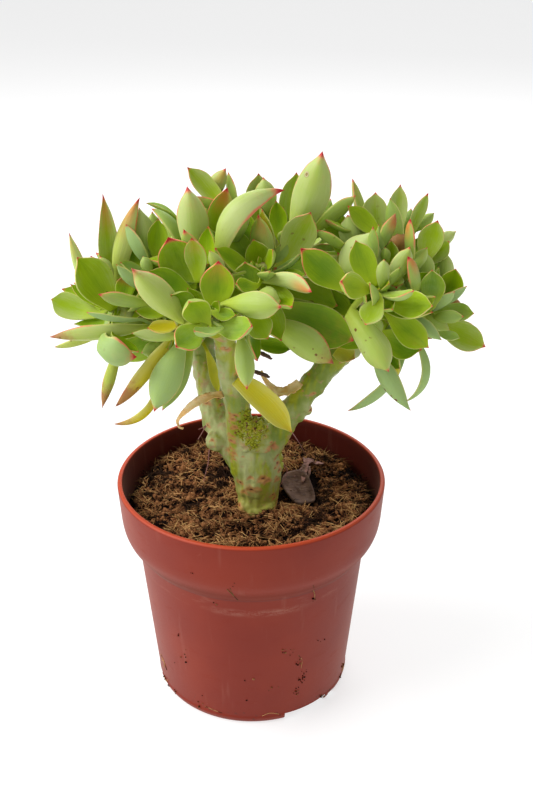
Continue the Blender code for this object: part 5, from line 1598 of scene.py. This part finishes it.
def potProfile():  # corners as (radius, height, rounding)
    form = potForm
    rim, height, lip, wall = (form[key] for key in ("rim", "height", "lip", "wall"))
    collar, ledge, body, base = (form[key] for key in ("collar", "collarFoot", "bodyTop", "foot"))
    return (
        (0.0, form["floorTop"], 0.0), (base - wall - 1.0, form["floorTop"], 0.0),
        (base - wall + 0.3, form["floorTop"] + 1.3, 0.4), (body - wall, ledge - 0.6, 1.2),
        (collar - wall - 1.9, ledge + 4.6, 1.5), (collar - wall, ledge + 9.2, 2.0),
        (rim - lip, height - 2.6, 0.5), (rim - lip + 0.4, height, 0.3),
        (rim - 0.7, height, 0.3), (rim, height - 0.7, 0.3),
        (collar + 0.5, ledge + 12.6, 1.5), (collar, ledge + 9.2, 1.5), (collar - 1.1, ledge + 6.2, 1.2),
        (collar - 3.2, ledge + 3.0, 1.2), (body, ledge, 0.7), (base + 0.25, 3.4, 0.3),
        (base + 0.5, 2.4, 0.25), (base + 0.1, 1.0, 0.3), (base - 0.6, 0.0, 0.3), (base - 1.9, 0.0, 0.3),
        (base - 2.3, form["floorUnder"], 0.3), (0.0, form["floorUnder"], 0.0),
    )


def rounded(corners, steps=4, spacing=6.0):
    made = []
    flat = [Vector((radius, 0.0, height)) for radius, height, rounding in corners]
    for k, (radius, height, rounding) in enumerate(corners):
        here = flat[k]
        if rounding == 0.0:
            made.append(here)
            continue
        start, end = (
            here + (other - here).normalized() * min(rounding, (other - here).length * 0.45)
            for other in (flat[k - 1], flat[k + 1])
        )
        for i in range(steps + 1):
            t = i / steps
            made.append(start * (1 - t) ** 2 + here * (2 * t * (1 - t)) + end * t * t)
    even = [made[0]]
    for point in made[1:]:
        last = even[-1]
        cuts = max(1, int((point - last).length / spacing))
        even += [last.lerp(point, (i + 1) / cuts) for i in range(cuts)]
    return even


def blockCutter(name, start, span, high):  # a bent block that cuts through the foot
    low, inner, outer = -2.0, 35.6, 42.0
    steps = max(4, int(span / 2.0))
    points = []
    for i in range(steps + 1):
        angle = radians(start + span * i / steps)
        for radius, height in ((inner, low), (outer, low), (outer, high), (inner, high)):
            points.append(Vector((radius * cos(angle), radius * sin(angle), height)))
    end = steps * 4
    bundle = Bundle()
    bundle.add(points, [(0, 1, 2, 3), (end + 3, end + 2, end + 1, end)] + bands(steps + 1, 4))
    return newPiece(name, bundle)


potColours = {
    "front": tint(126, 36, 12),
    "warm": tint(136, 43, 16),
    # lip: a lighter orange painted as the highlight on the lip's top
    "lip": tint(180, 66, 34),
    # inner: a dark red that stands for shade, painted inside the wall, below the collar and in the crease at
    # its foot
    "inner": tint(84, 25, 14),
    "dust": tint(206, 160, 140),
    "dirt": tint(70, 40, 26),
}
potLooks = {
    "Specular IOR Level": 0.3,
    "Sheen Weight": 0.1,
    "Sheen Roughness": 0.4,
    "Sheen Tint": (1.0, 0.78, 0.62, 1.0),
}


def potSkin():
    net = Finish("terracottaPlastic", potColours, potLooks)
    where = net.place()
    x, y, z, out = fromAxis(net, where)
    broad = net.cloud(where, 26, 3)
    fine = net.cloud(where, 1500, 3) - 0.5
    scuff = net.cloud(where, 95, 4, (1.0, 1.0, 3.5), 0.65)
    streak = net.cloud(where, 300, 3, (1.0, 1.0, 0.06))

    net.ground(net.step(broad, 0.35, 0.7), "front", "warm")
    # painted shade: the inside of the wall, above 74.5 mm, darkened with the inner red
    net.coat((1 - net.step(out, 0.002540, 0.002585)) * net.step(z, 0.0745, 0.0755), "inner")
    # painted highlight: the lip's top, above 91.2 mm, lighter and more orange
    net.coat(net.step(z, 0.0912, 0.0918), "lip")
    under = net.band(z, 0.0640, 0.0648, 0.0680, 0.0725)  # the shade below the collar
    net.coat(under * 0.4, "inner")
    # painted shade: a thin dark line in the crease at the collar's foot
    net.coat(net.band(z, 0.0634, 0.0639, 0.0643, 0.0648) * 0.4, "inner")
    rubbed = net.band(z + (broad - 0.5) * 0.002, 0.0555, 0.0580, 0.0585, 0.0605)  # a scuffed line in front
    rubbed = rubbed * net.band(x, -0.021, -0.006, 0.012, 0.024) * (1 - net.step(y, -0.03, -0.02))
    net.coat(rubbed * net.step(scuff + fine * 0.3, 0.36, 0.6) * 0.2, "dust")
    net.coat(net.band(z, 0.056, 0.060, 0.062, 0.066) * net.step(scuff, 0.52, 0.7) * 0.12, "dust")
    net.coat(net.step(scuff + fine * 0.3, 0.68, 0.82) * 0.12, "dust")
    net.coat(net.step(streak, 0.6, 0.8) * 0.07, "dust")
    foot = 1 - net.step(z, 0.001, 0.022)
    grime = net.step(net.cloud(where, 520, 4, rough=0.7) + foot * 0.14, 0.72, 0.82)
    net.coat(grime * (0.1 + foot * 0.8), "dirt")
    rough = 0.52 + fine * 0.12 + net.step(scuff, 0.55, 0.8) * 0.14 + under * 0.35
    return net.finish(rough, fine * 0.2 + scuff * 0.15, 0.0002, 0.35)


def turnPot():  # the profile, as a row of points, turned about the pot's axis
    profile = [point * mm for point in rounded(potProfile())]
    net = Growing("turnedShell")
    count = net.input("Profile points", len(profile), "Int")
    segments = net.input("Segments", potForm["segments"], "Int")
    axis = net.input("Axis", tuple(potAxis * mm), "Vector")
    rows = segments + 1
    grid = net.node("GeometryNodeMeshGrid", None, {"Vertices X": count, "Vertices Y": rows})
    index = net.node("GeometryNodeInputIndex")
    ring = net.maths("FLOOR", (index + 0.5) / rows)
    turn = (index - ring * rows) / segments * (2 * pi)
    corner = net.node(
        "GeometryNodeSampleIndex", {"data_type": "FLOAT_VECTOR", "domain": "POINT"},
        {"Geometry": net.geometry(), "Value": net.place(), "Index": ring},
    )
    radius, unused, height = net.split(corner)
    spot = net.join(radius * net.maths("COSINE", turn), radius * net.maths("SINE", turn), height)
    shell = net.node(
        "GeometryNodeSetPosition", None, {"Geometry": grid, "Position": net.vector("ADD", spot, axis)},
    )
    closed = net.node("GeometryNodeMergeByDistance", None, {"Geometry": shell, "Distance": 0.00001})
    data = bpy.data.meshes.new("pot_profile")
    data.from_pydata(profile, [], [])
    made = net.grow(link("pot_shell", data), closed, potSkin())
    turnOut(made.data)
    return made


def makePot():
    made = turnPot()
    cutters = []
    form = potForm
    for k in range(form["notches"]):
        start = form["notchFirst"] + k * 360 / form["notches"]
        cutters.append(blockCutter(f"cut_{k}", start, form["notchSpan"], form["notchHeight"]))
        step = start + form["notchSpan"] + form["tooth"]
        cutters.append(blockCutter(f"cut_end_{k}", step, form["step"], form["notchHeight"] * 0.7))
        middle = radians(start + form["notchSpan"] / 2)
        x, y = form["drainRing"] * cos(middle), form["drainRing"] * sin(middle)
        ends = [Vector((x, y, z)) for z in (0.0, 8.0)]
        hole = Bundle()
        hole.add(*tubeShell([(end, form["drainRadius"]) for end in ends], 32))
        cutters.append(newPiece(f"cut_drain_{k}", hole))
    for cutter in cutters:
        cut = made.modifiers.new(cutter.name, "BOOLEAN")
        cut.operation = "DIFFERENCE"
        cut.solver = "EXACT"
        cut.object = cutter
    bake(made)
    for cutter in cutters:
        bpy.data.objects.remove(cutter)
    made.data.shade_smooth()
    made.data.set_sharp_from_angle(angle=radians(38))
    return made


potPiece = hand(makePot(), "terracotta_plastic", "pot")

# Peat fibres that cling to the pot: paths across and down in the view, and radius.
potFibres = (
    (((227, 589), (230, 592), (233, 595), (238, 600)), 0.16), (((230, 588), (231.5, 592), (233.5, 595)), 0.1),
    (((313, 590), (314.5, 594), (314.4, 597), (315.4, 600)), 0.16), (((313, 585), (314, 588)), 0.1),
    (((161, 654), (163, 659), (165, 664), (167, 670)), 0.16), (((162, 660), (164.5, 662), (164, 668)), 0.12),
    (((346, 658), (345, 664), (342.6, 670), (344, 676)), 0.16),
    (((345.5, 662), (343, 667), (341.5, 671)), 0.2),
    (((164, 676), (168, 680), (167, 685), (171, 688)), 0.14), (((205, 706), (214, 710), (222, 713)), 0.12),
    (((262, 716), (270, 713), (279, 714)), 0.1), (((298, 655), (302, 660), (301, 668)), 0.1),
)
# Crumbs of soil on the pot: across, down, spread in pixels and how many.
potCrumbs = (
    (298, 664, 4, 8), (301, 680, 4, 14), (296, 692, 4, 12), (284, 652, 3, 5), (291, 652, 3, 4),
    (304, 672, 4, 6), (322, 640, 3, 3), (165, 678, 3, 10), (169, 686, 3, 12), (175, 693, 3, 10),
    (343, 664, 3, 12), (340, 676, 3, 6), (178, 634, 2, 2), (192, 572, 2, 2), (216, 605, 3, 3),
    (314, 599, 3, 3), (200, 704, 9, 9), (322, 697, 4, 14), (232, 585, 3, 2), (184, 655, 14, 6),
    (260, 690, 30, 8),
)


def makeClinging():
    shape = skinShape(potPiece)

    def onPot(across, down, lift):  # where the view's pixel meets the pot, or the nearest place beside it
        spot, normal, face, distance = meet(shape, across, down)
        if not spot:
            way = sightLine(across, down)
            spot, normal, face, distance = shape.find_nearest(eye - way * eye.y)
        place = spot + normal * lift
        place.z = max(place.z, 0.5)  # clear of the table
        return place

    draw = random.Random(17)
    crumbs = Bundle()
    for across, down, spread, count in potCrumbs:
        for k in range(count):
            size = draw.uniform(0.12, 0.42)
            x, y = across + draw.gauss(0, spread / 2), down + draw.gauss(0, spread / 2)
            place = onPot(x, y, size * 0.3)
            points, faces = ball(Vector(), size, 1)
            form = Vector((draw.uniform(0.6, 1.5), draw.uniform(0.6, 1.5), draw.uniform(0.6, 1.3)))
            crumbs.add([place + p * form for p in points], faces, grainToneAndShade=(draw.random(), 0.0, 0.0))
    hand(newPiece("pot_crumbs", crumbs, peatSkin("peatCrumb", 0.6)), "peat_soil")
    fibres = Bundle()
    for stations, radius in potFibres:
        path = [(onPot(across, down, radius * 0.6), radius) for across, down in stations]
        fibres.add(*tubeShell(softPath(path, 4), 5), grainToneAndShade=(0.96, 0.0, 0.0))
    hand(newPiece("pot_fibres", fibres, fibreSkin()), "peat_soil")


makeClinging()
print("pot made")


dryColours = {
    "brown": tint(78, 52, 40),
    "grey": tint(104, 76, 62),
    "dark": tint(48, 28, 24),
    "pink": tint(158, 112, 104),
    "tan": tint(250, 222, 168),
    "orange": tint(244, 196, 124),
    "bark": tint(216, 156, 100),
    "root": tint(150, 92, 92),
}


def drySkin(name, main, second, dark):
    net = Finish(name, dryColours, {"Roughness": 0.8})
    where = net.place()
    broad = net.cloud(where, 260, 3, rough=0.6)
    line = net.cloud(where, 800, 3, (0.35, 1.0, 1.0))
    net.ground(net.step(broad, 0.35, 0.65), main, second)
    net.coat(net.step(line, 0.52, 0.72) * 0.6, dark)
    return net.finish(None, line + broad * 0.5, 0.0005, 0.8)


# The fallen leaf's outline in the view, laid on its bed.
fallenOutline = (
    (283, 478), (288, 473), (297, 471.5), (304, 473.5), (309, 480), (313, 490), (315.2, 499), (313, 503.5),
    (305, 504.6), (298, 505.5), (291, 500), (285, 492), (281.5, 484),
)


def onBed(across, down, lift):
    way = sightLine(across, down)
    x, y, z = soilForm["bed"]
    rise = soilForm["bedRise"]
    return eye + way * ((z + lift + rise * (eye.y - y) - eye.z) / (way.z - rise * way.y))


def makeFallen(finish):
    corners = [(onBed(across, down, 1.5), 0.0) for across, down in fallenOutline]
    edge = [place for place, unused in softPath([*corners, corners[0]], 4)[:-1]]
    centre = sum(edge, Vector()) / len(edge)
    normal = Vector((0.0, -soilForm["bedRise"], 1.0)).normalized()
    rings, sides = 9, len(edge)
    top = []
    for k in range(rings, 0, -1):
        share = k / rings
        for place in edge:
            spot = centre + (place - centre) * share
            curl = 1.6 * smooth(share, 0.55, 1.0) * (0.6 + 0.6 * noise.noise(place * 0.16))
            fold = 0.7 * noise.noise(Vector((spot.x * 0.35, spot.y * 0.12, 1.0))) * (1 - 0.3 * share)
            top.append(spot + normal * (curl + fold))
    top.append(centre + normal * 0.35)
    count = len(top)
    faces = bands(rings, sides) + fan((rings - 1) * sides, sides, count - 1)
    faces += [tuple(count + i for i in reversed(face)) for face in faces]
    faces += [(i, count + i, count + (i + 1) % sides, (i + 1) % sides) for i in range(sides)]
    bundle = Bundle()
    bundle.add(top + [place - normal * 0.7 for place in top], faces)
    return newPiece("dried_leaf", bundle, finish)


def ribbon(stations, width, thick, curl, seed):  # shrivelled blade along a path of (place, share of width)
    path = softPath(stations, 6)
    places = [place for place, share in path]
    last = len(places) - 1
    sides = 12
    points = []
    for k, (place, share) in enumerate(path):
        ahead = aheadAt(places, k)
        side = ahead.cross(Vector((0.0, -0.5, 0.86))).normalized()
        normal = side.cross(ahead)
        turn = curl * k / last + 0.5 * noise.noise(Vector((k * 0.3, seed, 0)))
        side, normal = side * cos(turn) + normal * sin(turn), normal * cos(turn) - side * sin(turn)
        half = max(0.18, width * share / 2)
        for i in range(sides):
            angle = 2 * pi * i / sides
            wrinkle = 1 + 0.25 * noise.noise(Vector((k * 0.7, i * 0.9, seed)))
            rise = thick * sin(angle) * 0.5 + 0.5 * half * cos(angle) ** 2
            points.append(place + side * (half * cos(angle) * wrinkle) + normal * rise)
    caps = [tuple(range(sides)), tuple(reversed(range(last * sides, (last + 1) * sides)))]
    return points, caps + bands(last + 1, sides)


# Shrivelled blades of the sprig in the view: stations of across, down and share of the width.
sprigBlades = (
    (((303, 467, 0.5), (309, 462.5, 0.9), (316, 460, 1.0), (323, 457.6, 0.7)), 3.0),
    (((307, 464, 0.7), (306, 459.5, 1.0), (306.5, 455.4, 0.5)), 2.6),
    (((307, 464, 0.8), (304.5, 470, 1.0), (303, 476, 0.5)), 2.4),
    (((306, 465, 0.6), (299.5, 468.5, 0.5), (294.5, 472.6, 0.25)), 1.5),
    (((309, 466, 0.6), (309.5, 470.5, 0.7), (307.5, 474, 0.4)), 1.7),
)
sprigHeight = 87.4  # where the sight lines are stopped, before the blades settle on the soil


def onSoil(across, down):
    way = sightLine(across, down)
    place = eye + way * ((sprigHeight - eye.z) / way.z)
    place.z = soilHeight(place.x, place.y) + 1.6
    return place


# Fine roots and threads in the view: stations of across, down and depth, and radius.
threads = (
    (((211, 446, -4.5), (209, 452, -6.0), (208.4, 462, -7.5), (206, 472, -9.0), (203.6, 482, -11.5)), 0.22),
    (((212, 424, 0.0), (206.6, 425.6, -1.0), (202.5, 432, -2.0), (198, 439.5, -3.0)), 0.24),
    (((207, 425, -1.0), (203, 427.5, -1.5), (198.5, 429.5, -2.0)), 0.2),
    (((219, 453, -6.0), (224, 457, -6.5), (229, 455.5, -7.0)), 0.22),
    (((278.5, 462, -7), (286, 467.5, -6), (286.6, 474, -7), (282, 482, -8.5), (278, 489.5, -10)), 0.2),
    (((292, 432.5, -29.5), (296, 438, -19.0), (301, 446, -1.0), (305.6, 454.5, 19.0)), 0.18),
)

# Dead scraps that still hang on the middle branch, and the two dried leaves.
scraps = (
    (((231, 346, -14), (243, 348.5, -17), (256, 352, -18), (263, 355, -18), (270.5, 358.5, -17)), 2.6),
    (((234, 366, -13), (243, 369, -15), (254, 372, -16), (261, 374.5, -16), (268.5, 377, -15)), 2.4),
)
curledPath = (
    (223, 395, -13.5, 0.8), (211, 396.5, -15, 0.9), (199, 401.5, -16, 1.0), (189, 408.5, -16, 0.8),
    (181.5, 415.5, -15, 0.5), (177.6, 421.5, -14, 0.35), (179, 427, -13, 0.3), (183, 428.5, -12, 0.25),
)
tanPath = (
    (300, 382.5, -6.0, 0.7), (293, 389.5, -7.5, 1.0), (284, 393.5, -8.0, 1.0), (274, 391, -8.0, 0.9),
    (265.5, 382, -8.5, 0.6), (260.5, 371.5, -9.0, 0.35),
)


def makeDry():
    brown = drySkin("driedLeafSkin", "brown", "grey", "dark")
    pink = drySkin("driedSprigSkin", "pink", "grey", "dark")
    tan = drySkin("tanLeafSkin", "tan", "orange", "bark")
    root = drySkin("rootSkin", "root", "pink", "dark")
    hand(makeFallen(brown), "dry_leaf", "leaf_fallen")
    sprig, roots, curled, dried, dead = (Bundle() for k in range(5))
    for k, (stations, width) in enumerate(sprigBlades):
        path = [(onSoil(across, down), share) for across, down, share in stations]
        sprig.add(*ribbon(path, width, 0.8, 0.8 - 0.5 * k, k * 3.3))
    for stations, radius in threads:
        path = [(fromView(*station), radius * (1.0 - 0.12 * k)) for k, station in enumerate(stations)]
        roots.add(*tubeShell(softPath(path, 6), 6, 0.4))
    curled.add(*ribbon(viewStations(curledPath), 3.4, 0.8, 0.7, 1.0))
    dried.add(*ribbon(viewStations(tanPath), 4.6, 0.8, -0.5, 5.0))
    for k, (stations, width) in enumerate(scraps):
        count = len(stations) - 1
        path = [(fromView(*station), 0.45 + 0.55 * smooth(i, 0, count)) for i, station in enumerate(stations)]
        dead.add(*ribbon(path, width, 0.9, 0.6, 8.0 + k))
    hand(newPiece("dried_sprig", sprig, pink), "dry_leaf", "sprig_fallen")
    hand(newPiece("air_roots", roots, root), "stem_skin")
    hand(newPiece("curled_leaf", curled, tan), "leaf_tan", "leaf_curled")
    hand(newPiece("tan_leaf", dried, tan), "leaf_tan", "leaf_tan")
    hand(newPiece("dead_scraps", dead, brown), "dry_leaf")


makeDry()
yellowKinds = {"leaf_yellow": (0.95, 0.12, 0.72), "leaf_yellow_small": (1.0, 0.5, 0.62)}
for name, kind in yellowKinds.items():
    bundle = Bundle()
    fineLeaf(bundle, lonely[name], random.Random(3), kind=kind, mark=(0.05, 0.2, 0.3))
    hand(newPiece(name + "_blade", bundle, leafGreen), "leaf_yellow", name)
print("loose leaves made")


lightForm = {
    "world": 0.47,
    "floorGlow": 0.62,  # keeps the table white away from the lamps
    "key": {"size": 1.0, "power": 15.5, "place": (-0.85, -0.15, 0.95)},
    "back": {"size": 0.9, "power": 7.0, "place": (0.2, 0.8, 0.9)},
}
floorLooks = {"Roughness": 0.7, "Specular IOR Level": 0.1, "Emission Color": (1.0, 1.0, 1.0, 1.0)}
floorColours = {"low": (0.44, 0.44, 0.442, 1.0), "high": (0.45, 0.45, 0.45, 1.0)}


def makeStage():
    data = bpy.data.meshes.new("floor")
    data.from_pydata([(-8, -8, 0), (8, -8, 0), (8, 8, 0), (-8, 8, 0)], [], [(0, 1, 2, 3)])
    net = Finish("whiteFloor", floorColours, {**floorLooks, "Emission Strength": lightForm["floorGlow"]})
    net.ground(net.cloud(net.place(), 3, 2), "low", "high")
    data.materials.append(net.finish())
    link("floor", data)
    world = bpy.data.worlds.new("studio")
    bpy.context.scene.world = world
    world.use_nodes = True
    sky = world.node_tree.nodes["Background"]
    sky.inputs["Color"].default_value = (1.0, 1.0, 1.0, 1.0)
    sky.inputs["Strength"].default_value = lightForm["world"]
    for name in ("key", "back"):
        form = lightForm[name]
        lamp = bpy.data.lights.new(name, "AREA")
        lamp.shape = "DISK"
        lamp.size = form["size"]
        lamp.energy = form["power"]
        made = link(name, lamp)
        made.location = form["place"]
        made.rotation_euler = (Vector((0.0, 0.0, 0.12)) - made.location).to_track_quat("-Z", "Y").to_euler()


def makeCamera():
    data = bpy.data.cameras.new("camera")
    data.sensor_width = 36.0
    data.lens = view["focus"] / 800 * 36.0
    data.clip_start = 0.01
    made = link("camera", data)
    made.location = (eye + potAxis) * mm
    made.rotation_euler = (pi / 2 - view["pitch"], 0.0, view["yaw"])
    bpy.context.scene.camera = made


makeStage()
makeCamera()
bpy.context.scene.view_settings.view_transform = "Standard"
print("scene made")
